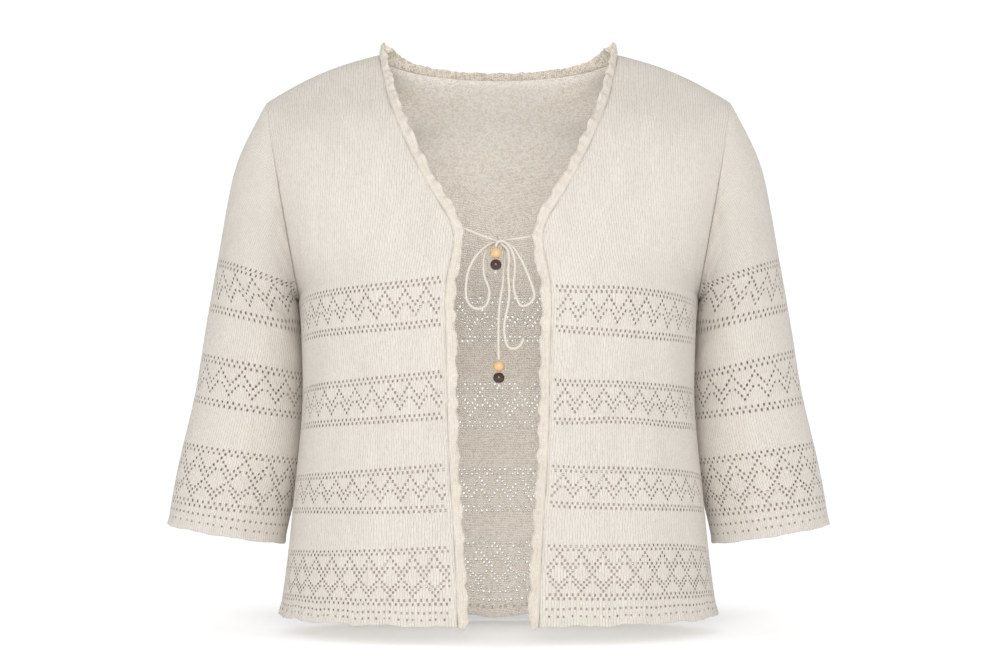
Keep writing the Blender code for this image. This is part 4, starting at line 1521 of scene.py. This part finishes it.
@dataclass
class Sleeves:
    """The two three-quarter sleeves, each a tube set into its armhole."""

    form: GarmentForm
    folds: Folds
    finishes: Finishes
    shell: LaceShell = field(default_factory=LaceShell)
    columns: int = 120
    dense_rows: int = 300
    dense_columns: int = 241
    phases: dict = field(default_factory=lambda: {"left": 1.3, "right": 3.4})
    # Columns before each large band's first repeat.
    first_valley: dict = field(default_factory=lambda: {"left": (5, 3, 7), "right": (0, 3, 1)})
    warp_down: tuple = (0.15, 0.36)
    warp: tuple = (-0.085, 0.065)
    plain_step: float = 0.0070
    seam_row: float = 0.0007
    # Painted shade on the sleeve: its strength at the armhole's creases and down the inner side.
    crease_shade: float = 0.34
    inner_side_shade: float = 0.12
    still_end: float = 0.05
    cuff_waves: int = 8
    under_bump: float = 0.0032
    under_place: float = 0.085
    under_reach: float = 0.05
    # Heights of each band's border rows at the sleeve's outer and inner line.
    bands: dict = field(default_factory=lambda: table(
        "band top_outer top_inner low_outer low_inner",
        (Band.ZIGZAG, -0.1965, -0.2231, -0.2446, -0.2671),
        (Band.ZIGZAG, -0.2885, -0.3088, -0.3334, -0.3513),
        (Band.DIAMOND, -0.3749, -0.3917, -0.4309, -0.4449),
        (Band.HEM_HOLES, -0.4377, -0.4549, -0.4377, -0.4549),
        (Band.HEM_DOTS, -0.4449, -0.4637, -0.4449, -0.4637),
    ))
    # How much higher the second band's borders lie at the outer line.
    second_band: dict = field(default_factory=lambda: {"left": (0.0035, -0.002),
                                                       "right": (0.0, 0.0)})
    cuff_lines: tuple = (0.0030, 0.0018, 0.0009, 0.0)

    def surface(self, word: str) -> Surface:
        """Left-hand form of a sleeve: places up it are metres down from the armhole.

        Args:
            word: left or right.

        Returns:
            The form.
        """
        shares = np.linspace(0, 1, self.dense_rows)
        angles = np.linspace(180, 540, self.dense_columns)
        sheet, length = self.form.sleeve_sheet(shares, angles)
        along = shares * length
        smooth = Surface(along, angles, sheet)
        around = ((angles % 360) / 360 * self.folds.girth)[None, :]
        down = along[:, None]
        window = smooth_step(down / self.still_end)
        window = window * smooth_step((along[-1] - down) / self.still_end)
        height = self.folds.height(word + "_sleeve", around, down) * window
        sheet = sheet + smooth.normals * height[..., None]
        turn = (angles / 360 * self.cuff_waves * self.folds.hem_wave_length)[None, :]
        sheet[..., 2] -= 0.5 * self.folds.hang(turn, along[-1] - down, self.phases[word])
        return Surface(along, angles, sheet)

    def along_at(self, surface: Surface, z_outer: float, z_inner: float,
                 angles: Array) -> Array:
        """Places down the sleeve of a line round it, given its height at both sides.

        Args:
            surface: the sleeve's form.
            z_outer: height at the outer line.
            z_inner: height at the inner line.
            angles: places round it.

        Returns:
            Metres down from the armhole, one for each place.
        """
        target = z_outer + (z_inner - z_outer) * (1 - np.cos(np.radians(angles))) / 2
        columns = surface.at(np.tile(surface.up[:, None], (1, angles.size)),
                             np.tile(angles[None], (surface.up.size, 1)))
        return np.array([np.interp(-target[k], -columns[:, k, 2], surface.up)
                         for k in range(angles.size)])

    def row_lines(self, surface: Surface, angles: Array, word: str
                  ) -> tuple[Array, Charts]:
        """Row lines from the armhole down.

        Args:
            surface: the sleeve's form.
            angles: places round it of the column lines.
            word: left or right.

        Returns:
            Places of the crossings down the sleeve, and the chart row of each row of cells.
        """
        rows = RowLines(np.zeros(angles.size), np.full(angles.size, self.seam_row))
        step, power = self.plain_step * 0.6, 1.25      # beside the armhole
        end = np.full(angles.size, surface.up[-1])
        bands = zip(*(self.bands[key] for key in self.bands))
        for number, (band, top_outer, top_inner, low_outer, low_inner) in enumerate(bands):
            if number == 1:
                top_outer += self.second_band[word][0]
                low_outer += self.second_band[word][1]
            top = self.along_at(surface, top_outer, top_inner, angles)
            if len(band.value) == 1:
                rows.plain_to(np.maximum(top - HEM_ROW / 2, rows.lines[-1] + 0.001), step)
                rows.add(rows.lines[-1] + HEM_ROW, (band, 0))
                continue
            low = self.along_at(surface, low_outer, low_inner, angles)
            places = band.lines()
            pitch = (low - top) / band.value[-1][0]
            rows.plain_to(np.maximum(top + places[0] * pitch, 0.004), step, power)
            step, power = self.plain_step, 1.0
            for row, place in enumerate(places[1:]):
                rows.add(top + place * pitch, (band, row))
        for line in self.cuff_lines:
            rows.add(end - line)
        return np.array(rows.lines), rows.charts

    def crease_shades(self, up: Array, across: Array, phase: float) -> Array:
        """Painted shade in the armhole's creases and down the sleeve's inner side.

        Args:
            up: places down the sleeve of the crossings.
            across: angles round it.
            phase: start of the creases.

        Returns:
            Shares of painted shade from 0 to 1.
        """
        side = np.abs((across + 180) % 360 - 180)
        lower = smooth_step((side - 45) / 60)
        run = np.sin(side * 0.21 + up * 260 + phase) + 0.6 * np.sin(side * 0.37 - up * 150)
        crease_shade = self.crease_shade * lower * (1 + 0.22 * run)
        crease_shade = crease_shade * bump(up, 0.014 + 0.028 * lower)
        inner = smooth_step((side - 122) / 46) * (0.85 + 0.15 * np.sin(up * 120 + phase))
        return np.clip(crease_shade + self.inner_side_shade * inner, 0, 0.6)

    def build_one(self, word: str, mirror: Array) -> Item:
        """Build one sleeve.

        Args:
            word: left or right.
            mirror: factors that carry the left-hand form to this side.

        Returns:
            The sleeve's object.
        """
        surface = self.surface(word)
        angles = np.linspace(180, 540, self.columns + 1)
        up, charts = self.row_lines(surface, angles, word)
        across = np.empty_like(up)
        dense = np.linspace(180, 540, 361)
        share = np.linspace(0, 1, self.columns + 1)
        for r in range(len(up)):
            ring = surface.at(np.interp(dense, angles, up[r]), dense)
            length = run_length(ring)
            warp = np.interp(up[r].mean(), self.warp_down, self.warp)
            warped = share + warp / (2 * math.pi) * (np.cos(2 * math.pi * share) - 1)
            across[r] = np.interp(warped * length[-1], length, dense)
            up[r] = np.interp(across[r], angles, up[r].copy())
        starts = np.flatnonzero([c is not None and len(c[0].value) > 1 and c[1] == 0
                                 for c in charts])
        stops = (0, *starts[1:], len(charts))
        holes = np.zeros((len(charts), self.columns), int)
        moves = np.zeros_like(up)
        for valley, first, last in zip(self.first_valley[word], stops[:-1], stops[1:]):
            part = charts[first:last]
            places = np.arange(self.columns + 1) - valley
            holes[first:last] = chart_holes(part, places[:-1] % REPEAT,
                                            np.zeros(self.columns, bool))
            moves[first:last + 1] += lace_lift(part, up[first:last + 1], places, is_down=True)
        up = up - moves
        wales = np.tile(np.arange(self.columns + 1) * WALE * 1.25, (len(up), 1))
        lift = seam_dip(up, 0.0002) + hem_roll(surface.up[-1] - up)
        under = (1 - np.cos(np.radians(across))) / 2
        lift += self.under_bump * under ** 4 * bump(up - self.under_place, self.under_reach)
        lattice = Lattice(up, across, np.array([c is not None for c in charts]), holes, wales,
                          -up, closed=True)
        # Painted shade at the armhole and down the sleeve's inner side.
        crease_shade = self.crease_shades(up, across, self.phases[word])
        return self.shell.build(f"{word}_sleeve_lace", lattice, surface, mirror,
                                self.finishes, lift, crease_shade)

    def build(self) -> list[Item]:
        """Build both sleeves and say what they stand for.

        Returns:
            The two sleeves.
        """
        made = []
        for word, mirror in SIDES:
            piece = self.build_one(word, mirror)
            declare(piece, f"{word}_sleeve")
            made.append(piece)
        return made


# ---- the edging ----
@dataclass
class Edging:
    """Folded band with soft flutes, sewn along both fronts and round the back neck."""

    form: GarmentForm
    panels: BodyPanels
    finishes: Finishes
    wall: float = 0.0018
    gap: float = 0.0003
    tuck: float = -0.0003
    width: float = 0.0095
    neck_width: float = 0.0078
    neck_rise: tuple = (0.0012, 0.0060, 0.88, 0.18)   # at the ends, and a swell beside them
    scallop: float = 0.0011
    flute: float = 0.0021
    flute_length: float = 0.026
    flute_strays: tuple = ((0.004, 0.093, 0.0), (0.0032, 0.041, 1.0))
    flute_sizes: tuple = ((0.2, 0.17, 1.0), (0.3, 0.061, 0.0))
    crumple: float = 0.0012
    crumple_length: float = 0.0117
    ripple: float = 0.0005
    ripple_length: float = 0.0083
    hang: float = 0.0035
    flare: float = 0.0016
    flare_reach: float = 0.014
    front_steps: int = 320
    neck_steps: int = 150
    across: tuple = (0.0, 0.05, 0.13, 0.24, 0.36, 0.44, 0.50, 0.56, 0.66, 0.78, 0.89, 0.96, 1.0)
    crown: float = 0.0010
    groove: float = 0.0010

    def path(self) -> tuple[Array, Array, Array]:
        """Points, normals and lift angle along the whole edge, up, round and down.

        Returns:
            The three, each with a row for each point.
        """
        rises = np.linspace(0, self.form.shoulder_rise, self.front_steps + 1)
        zero = np.zeros(rises.size)
        sides = []
        for word, mirror in SIDES:
            surface = self.panels.surface(word)
            sides.append([surface.at(rises, zero) * mirror,
                          surface.normal_at(rises, zero) * mirror])
        back = self.panels.surface("back")
        shares = np.linspace(self.form.neck_share, -self.form.neck_share, self.neck_steps + 1)
        top = np.full(shares.size, self.form.shoulder_rise)
        neck = [back.at(top, shares), back.normal_at(top, shares)]
        shoulder = smooth_step((np.abs(shares) / self.form.neck_share - 0.75) / 0.25)[:, None]
        for side, end in ((0, shares > 0), (1, shares < 0)):
            blended = neck[1] * (1 - shoulder / 2) + sides[side][1][-1] * shoulder / 2
            neck[1][end] = unit(blended)[end]
        for side in (0, 1):
            near = smooth_step((rises - self.form.shoulder_rise + 0.03) / 0.03)[:, None] / 2
            meet = neck[1][0] if side == 0 else neck[1][-1]
            sides[side][1] = unit(sides[side][1] * (1 - near) + meet * near)
        lift = np.interp(rises, (0, 0.30, 0.45, 0.56, self.form.shoulder_rise),
                         (0, 3, 10, 28, 64))
        neck_lift = 4 + 60 * np.abs(np.linspace(-1, 1, self.neck_steps + 1)) ** 1.5
        points = np.concatenate((sides[0][0], neck[0][1:-1], sides[1][0][::-1]))
        normals = np.concatenate((sides[0][1], neck[1][1:-1], sides[1][1][::-1]))
        lifts = np.concatenate((lift, neck_lift[1:-1], lift[::-1]))
        return points, normals, np.radians(lifts)[:, None]

    def sections(self) -> tuple[Array, Array]:
        """Closed cross-sections of the whole edging, and the length along its seam.

        Returns:
            The two, each with a row for each section.
        """
        seam, normals, lift = self.path()
        run = unit(np.gradient(seam, axis=0))
        away = unit(np.cross(normals, run))
        normals = unit(np.cross(run, away))
        along = run_length(seam)[:, None]
        to_hem = np.minimum(along, along[-1] - along)
        neck_half = (along[self.front_steps + self.neck_steps] - along[self.front_steps]) / 2
        past = np.abs(along - along[-1] / 2) - neck_half
        share = np.clip(1 + past / neck_half, 0, 1)
        rise, swell, place, reach = self.neck_rise
        width = self.neck_width + rise * share ** 2 + swell * bump(share - place, reach)
        front = bump(np.maximum(past, 0), 0.018)
        width = self.width + (width - self.width) * front
        uneven = along + waves(along, *self.flute_strays)
        calm = 0.35 + 0.65 * smooth_step((past + 0.02) / 0.05)
        width = width + self.scallop * calm * np.cos(2 * math.pi * uneven / self.flute_length)
        width = width + waves(along, (self.ripple, self.ripple_length, 0.0)) * np.sin(along * 97)
        width = width + self.flare * bump(to_hem - 0.010, self.flare_reach)
        width = width * (0.60 + 0.40 * smooth_step(to_hem / 0.010))
        outward = np.cos(lift) * away + np.sin(lift) * normals
        upward = np.cos(lift) * normals - np.sin(lift) * away
        size = 0.75 + waves(along, *self.flute_sizes)
        flute = self.flute * size * calm * np.cos(uneven * 2 * math.pi / self.flute_length)
        crumple = calm * waves(along, (self.crumple, self.crumple_length,
                                       3 * np.sin(along * 40)))
        ridge = 0.7 + waves(along, (0.3, 0.037, 2.0))
        outer, inner = [], []
        for a in self.across:
            middle = seam + self.tuck * away + outward * width * a
            middle = middle + upward * (flute * a ** 1.5 + crumple * a)
            middle[:, 2] -= (self.hang * a * np.exp(-to_hem / 0.012))[:, 0]
            raised = self.crown * math.sin(math.pi * min(1.0, a * 1.04)) ** 0.5
            raised = raised - self.groove * ridge * math.exp(-((a - 0.5) / 0.1) ** 2)
            pinch = 1 - 0.65 * abs(2 * a - 1) ** 6
            half = self.wall / 2 * pinch
            centre = middle - upward * self.wall / 2
            outer.append(centre + upward * (half + raised))
            inner.append(centre - upward * half)
        return np.stack(outer + inner[::-1], axis=1), along[:, 0]

    def build(self) -> list[Item]:
        """Cut the edging at the neck points into three bands.

        Returns:
            The three bands.
        """
        sections, along = self.sections()
        front, neck = self.front_steps, self.neck_steps
        stops = (0, front, front + neck, 2 * front + neck)
        names = ("left_front_edging", "back_neck_edging", "right_front_edging")
        made = []
        for name, first, last in zip(names, stops[:-1], stops[1:]):
            part = sections[first:last + 1].copy()
            if first > 0:
                part[0] += self.gap / 2 * unit(part[1] - part[0])
            if last < stops[-1]:
                part[-1] += self.gap / 2 * unit(part[-2] - part[-1])
            piece = add_loft(name + "_band", part, along[first:last + 1], self.finishes.edging)
            piece.data.materials.append(self.finishes.edging_inside)
            ring = part.shape[1]
            for face in piece.data.polygons[:(last - first) * ring]:
                face.material_index = int(face.index % ring >= ring // 2)
            declare(piece, name)
            made.append(piece)
        return made


def add_loft(name: str, sections: Array, along: Array,
             material: Material) -> Item:
    """Join closed cross-sections into one closed body with a knit map.

    Args:
        name: the piece's name.
        sections: points, sections by points round each.
        along: length along the run of each section.
        material: its finish.

    Returns:
        The object.
    """
    count, ring = sections.shape[:2]
    middle = sections.mean(axis=1)
    around = run_length(sections[count // 2, list(range(ring)) + [0]])
    faces, uvs = [], []
    for i in range(count - 1):
        for j in range(ring):
            k = (j + 1) % ring
            faces.append((i * ring + j, (i + 1) * ring + j, (i + 1) * ring + k, i * ring + k))
            uvs += [(around[j], along[i]), (around[j], along[i + 1]),
                    (around[j + 1], along[i + 1]), (around[j + 1], along[i])]
    points = list(map(tuple, sections.reshape(-1, 3)))
    for end, turn in ((0, 1), (count - 1, -1)):
        points.append(tuple(middle[end]))
        for j in range(ring):
            k = (j + 1) % ring
            pair = (end * ring + j, end * ring + k)[::turn]
            faces.append((*pair, len(points) - 1))
            uvs += [(around[j], along[end]), (around[j + 1], along[end]), (0.0, along[end])]
    return add_item(name, points, faces, [material], uvs)


# ---- the ties ----
@dataclass
class Tie:
    """One limp round cord of the bow, with what is threaded on its end."""

    name: str
    route: tuple
    bead: Point | None
    finishes: Finishes
    diameter: float = 0.0026
    bead_radius: float = 0.0053
    bore: float = 0.0014
    gap: float = 0.0003
    sides: int = 12
    step: float = 0.0007
    segments: int = 36                       # round a bead
    lip: float = 0.0003
    stitch: tuple = (0.02, 0.0031, 0.0)      # height, length and phase
    # Distances of the end knot below its bead, and its radii as shares of the cord's.
    knot_drops: tuple = (0.0, 0.0004, 0.0012, 0.0021, 0.0028, 0.0031)
    knot_radii: tuple = (0.8, 1.05, 1.42, 1.45, 1.0, 0.45)

    def centreline(self) -> Array:
        """Evenly spaced points of a smooth curve through the route.

        Returns:
            The points.
        """
        route = list(self.route)
        if self.bead is not None:
            x, y, z = self.bead
            route.append((x, y, z + self.bead_radius + self.gap))
        route = np.array(route)
        chords = run_length(route)
        fine = cubic_through(chords, route, np.linspace(0, chords[-1], 1601))
        length = run_length(fine)
        marks = np.linspace(0, length[-1], round(length[-1] / self.step) + 1)
        return np.stack([np.interp(marks, length, fine[:, k]) for k in range(3)], axis=-1)

    def tube(self, name: str, line: Array, radii: Array) -> Item:
        """A tube along a line, carried without twist.

        Args:
            name: the piece's name.
            line: points along it.
            radii: its radius at each point.

        Returns:
            The object.
        """
        heading = unit(np.gradient(line, axis=0))
        side = unit(np.cross(heading[0], (0.0, 1.0, 0.3)))
        turn = np.arange(self.sides) * 2 * math.pi / self.sides
        sections = []
        for point, forward, radius in zip(line, heading, radii):
            side = unit(side - forward * np.dot(side, forward))
            other = np.cross(forward, side)
            sections.append(point + radius * (np.outer(np.cos(turn), side)
                                              + np.outer(np.sin(turn), other)))
        return add_loft(name, np.array(sections), run_length(line), self.finishes.cord)

    def bead_mesh(self, name: str, place: Point, material: Material,
                  squash: float) -> Item:
        """A turned bead with its bore and softly rounded bore edges.

        Args:
            name: the piece's name.
            place: its middle.
            material: its wood.
            squash: height as a share of width.

        Returns:
            The object.
        """
        start = math.asin(self.bore / self.bead_radius)
        turn = np.linspace(start * 1.3, math.pi - start * 1.3, 21)
        outline = np.stack((np.sin(turn), np.cos(turn) * squash), 1) * self.bead_radius
        lip = outline[0] - self.lip
        bore = [(self.bore, lip[1] * s) for s in (1, 0.4, -0.4, -1)]
        profile = np.concatenate((outline, np.array(bore)[::-1]))
        angle = np.arange(self.segments) * 2 * math.pi / self.segments
        points, faces = [], []
        for a in angle:
            points += [(r * math.cos(a), r * math.sin(a), z) for r, z in profile]
        count = len(profile)
        for i in range(self.segments):
            n = (i + 1) % self.segments
            for j in range(count):
                k = (j + 1) % count
                faces.append((i * count + j, i * count + k, n * count + k, n * count + j))
        item = add_item(name, points, faces, [material])
        item.location = place
        return item

    def threads(self) -> list[Item]:
        """The beads, and the end of the cord that runs through them into its knot.

        Returns:
            The pieces, or none for a cord without beads.
        """
        if self.bead is None:
            return []
        x, y, z = self.bead
        drop = 2 * self.bead_radius + self.gap
        pale = self.bead_mesh(self.name + "_bead_pale_turned", self.bead,
                              self.finishes.pale_wood, 1.0)
        dark = self.bead_mesh(self.name + "_bead_dark_turned", (x, y, z - drop),
                              self.finishes.dark_wood, 0.97)
        low = z - drop - self.bead_radius - np.array(self.knot_drops)
        heights = np.concatenate(((z + self.bead_radius, z, z - drop), low))
        radii = np.array((0.82, 0.8, 0.8, *self.knot_radii)) * self.diameter / 2
        line = np.stack((np.full_like(heights, x), np.full_like(heights, y), heights), axis=-1)
        end = self.tube(self.name + "_end_knot", line, radii)
        declare(pale, self.name + "_bead_pale")
        declare(dark, self.name + "_bead_dark")
        declare(end)
        return [pale, dark, end]

    def build(self) -> list[Item]:
        """Returns:
            The cord, then what is threaded on it.
        """
        line = self.centreline()
        draw = waves(run_length(line), self.stitch) + 1.0
        cord = self.tube(self.name + "_cord", line, draw * self.diameter / 2)
        going = self.threads()
        declare(cord, self.name)
        return [cord, *going]


@dataclass
class Bow:
    """Both ties and the short cord that wraps the bow's knot."""

    finishes: Finishes
    knot: Point = (0.0003, -0.130, -0.1829)
    knot_radius: float = 0.0043
    wrap_angles: tuple = (-170.0, 92.0)
    wrap_width: float = 0.0028
    right_beads: Point = (-0.0022, -0.1374, -0.1940)
    left_beads: Point = (0.0005, -0.1305, -0.2989)
    right_route: tuple = (
        (-0.0385, -0.1232, -0.1690), (-0.0354, -0.1243, -0.1698), (-0.0300, -0.1272, -0.1716),
        (-0.0240, -0.1290, -0.1740), (-0.0120, -0.1312, -0.1789), (-0.0040, -0.1314, -0.1816),
        (0.0003, -0.1314, -0.1829), (0.0050, -0.1314, -0.1842), (0.0120, -0.1318, -0.1875),
        (0.0191, -0.1320, -0.1964), (0.0251, -0.1330, -0.2083), (0.0298, -0.1340, -0.2201),
        (0.0328, -0.1345, -0.2295), (0.0331, -0.1348, -0.2352), (0.0309, -0.1348, -0.2389),
        (0.0262, -0.1345, -0.2424), (0.0214, -0.1340, -0.2428), (0.0179, -0.1335, -0.2379),
        (0.0152, -0.1330, -0.2308), (0.0142, -0.1325, -0.2226), (0.0150, -0.1320, -0.2140),
        (0.0154, -0.1320, -0.2059), (0.0142, -0.1330, -0.1965), (0.0108, -0.1355, -0.1885),
        (0.0065, -0.1370, -0.1843), (0.0028, -0.1376, -0.1829), (-0.0008, -0.1376, -0.1845),
    )
    left_route: tuple = (
        (0.0365, -0.1232, -0.1775), (0.0316, -0.1255, -0.1781), (0.0200, -0.1285, -0.1800),
        (0.0120, -0.1286, -0.1812), (0.0045, -0.1286, -0.1823), (0.0003, -0.1286, -0.1829),
        (-0.0045, -0.1286, -0.1840), (-0.0115, -0.1290, -0.1880), (-0.0187, -0.1318, -0.1945),
        (-0.0277, -0.1320, -0.2106), (-0.0300, -0.1320, -0.2272), (-0.0288, -0.1320, -0.2379),
        (-0.0235, -0.1318, -0.2444), (-0.0176, -0.1315, -0.2456), (-0.0117, -0.1312, -0.2426),
        (-0.0087, -0.1310, -0.2355), (-0.0087, -0.1308, -0.2272), (-0.0129, -0.1305, -0.2153),
        (-0.0135, -0.1300, -0.2059), (-0.0129, -0.1280, -0.1964), (-0.0093, -0.1255, -0.1893),
        (-0.0045, -0.1232, -0.1853), (0.0000, -0.1226, -0.1843), (0.0038, -0.1232, -0.1866),
        (0.0056, -0.1252, -0.1912), (0.0061, -0.1280, -0.1976), (0.0049, -0.1295, -0.2106),
        (0.0043, -0.1300, -0.2225), (0.0019, -0.1300, -0.2367), (0.0007, -0.1300, -0.2509),
        (0.0002, -0.1305, -0.2686), (0.0002, -0.1305, -0.2850),
    )
    knot_tail: tuple = (
        (0.0045, -0.1342, -0.1868), (0.0072, -0.1340, -0.1890), (0.0097, -0.1335, -0.1976),
        (0.0092, -0.1330, -0.2106), (0.0102, -0.1325, -0.2272), (0.0097, -0.1320, -0.2390),
        (0.0072, -0.1320, -0.2509), (0.0055, -0.1320, -0.2628), (0.0067, -0.1320, -0.2746),
        (0.0102, -0.1320, -0.2817), (0.0156, -0.1320, -0.2823), (0.0214, -0.1320, -0.2781),
        (0.0232, -0.1320, -0.2733),
    )

    def knot_wrap(self) -> Array:
        """Route of the cord once round the knot, from below and behind.

        Returns:
            Points of the route.
        """
        start, end = self.wrap_angles
        angles = np.radians(np.arange(start, end, 20.0))
        x = np.linspace(-self.wrap_width / 2, self.wrap_width / 2, len(angles))
        return np.stack((self.knot[0] + x, self.knot[1] - self.knot_radius * np.sin(angles),
                         self.knot[2] + self.knot_radius * np.cos(angles)), axis=-1)

    def build(self) -> list[Item]:
        """Build the three cords.

        Returns:
            Their pieces.
        """
        wrap = tuple(map(tuple, self.knot_wrap()))
        ties = (Tie("right_tie", self.right_route, self.right_beads, self.finishes),
                Tie("left_tie", self.left_route, self.left_beads, self.finishes),
                Tie("knot_tie", wrap + self.knot_tail, None, self.finishes))
        return [piece for tie in ties for piece in tie.build()]


# ---- the studio ----
@dataclass
class Studio:
    """Camera at the photograph's place, a pale floor that curves up, and soft light."""

    camera_place: Point = (0.0053, -3.0, -0.271)
    lens: float = 110.4
    floor_height: float = -0.558
    floor_colour: Colour = (0.72, 0.72, 0.72)
    floor_glow: float = 0.41
    shade: float = 0.36                       # how much less it glows under the hem
    shade_place: float = 0.17
    shade_size: tuple = (0.24, 0.11)
    sky: float = 0.73
    key_power: float = 32.5
    sweep_start: float = 4.2
    sweep_radius: float = 2.0
    reach: float = 10.0

    def add_camera(self) -> None:
        """Set up the camera."""
        data = bpy.data.cameras.new("camera")
        data.lens = self.lens
        data.sensor_width = 36.0
        camera = bpy.data.objects.new("camera", data)
        camera.location = self.camera_place
        camera.rotation_euler = (math.radians(90), 0.0, 0.0)
        bpy.context.scene.collection.objects.link(camera)
        bpy.context.scene.camera = camera

    def add_floor(self) -> None:
        """Lay a floor that sweeps up into a backdrop."""
        z, start, radius = self.floor_height, self.sweep_start, self.sweep_radius
        bend = [(start + radius * math.sin(a), z + radius * (1 - math.cos(a)))
                for a in np.linspace(0, math.pi / 2, 13)]
        profile = [(-self.reach, z), (-2.0, z), (0.0, z), *bend,
                   (start + radius, z + self.reach)]
        points = [(x, y, h) for x in (-self.reach, self.reach) for y, h in profile]
        count = len(profile)
        faces = [(i, i + count, i + count + 1, i + 1) for i in range(count - 1)]
        board = NodeBoard("floor_paper", roughness=0.9)
        paper = board.noise(board.object_place(), 60.0, 2.0)
        lighter = tuple(min(1.0, c + 0.03) for c in self.floor_colour)
        board.colour(board.blend(paper, self.floor_colour, lighter))
        board.shader.inputs["Emission Color"].default_value = (1, 1, 1, 1)
        x, y, _ = board.parts(board.object_place())
        beside = board.math("POWER", board.math("DIVIDE", x, self.shade_size[0]), 4.0)
        behind = board.math("DIVIDE", board.math("SUBTRACT", y, self.shade_place),
                            self.shade_size[1])
        far = board.math("MULTIPLY_ADD", behind, behind, beside)
        shade = board.math("EXPONENT", board.math("MULTIPLY", far, -1.0))
        board.join(board.math("MULTIPLY_ADD", shade, -self.shade, self.floor_glow),
                   board.shader.inputs["Emission Strength"])
        add_item("floor", points, faces, [board.material])

    def add_light(self, name: str, place: Point, aim: Point, size: float, power: float) -> None:
        """Add one large soft light.

        Args:
            name: its name.
            place: where it stands.
            aim: the point it faces.
            size: the side of its square.
            power: its power in watts.
        """
        data = bpy.data.lights.new(name, "AREA")
        data.size = size
        data.energy = power
        light = bpy.data.objects.new(name, data)
        light.location = place
        track = (np.array(aim) - np.array(place)).tolist()
        light.rotation_euler = Vector(track).to_track_quat("-Z", "Y").to_euler()
        bpy.context.scene.collection.objects.link(light)

    def build(self) -> None:
        """Set up everything round the garment."""
        self.add_camera()
        self.add_floor()
        world = bpy.data.worlds.new("soft_light")
        world.use_nodes = True
        sky = world.node_tree.nodes["Background"]
        sky.inputs[0].default_value = (1.0, 1.0, 1.0, 1.0)
        sky.inputs[1].default_value = self.sky
        bpy.context.scene.world = world
        self.add_light("key", (-0.35, -3.1, 0.55), (0, 0, -0.27), 1.2, self.key_power)
        self.add_light("fill", (0.40, -3.1, 0.0), (0, 0, -0.3), 1.2, self.key_power * 0.6)
        view = bpy.context.scene.view_settings
        view.view_transform = "Standard"


def main() -> None:
    """Build the studio and every piece of the cardigan, in order."""
    logging.basicConfig(level=logging.INFO, format="%(name)s: %(message)s")
    Studio().build()
    finishes = Finishes()
    form, folds = GarmentForm(), Folds()
    panels = BodyPanels(form, folds, finishes)
    groups = (Bow(finishes), panels, Sleeves(form, folds, finishes),
              Edging(form, panels, finishes))
    for group in groups:
        for piece in group.build():
            log.info("%s: %d faces", piece.name, len(piece.data.polygons))


if __name__ == "__main__":
    main()
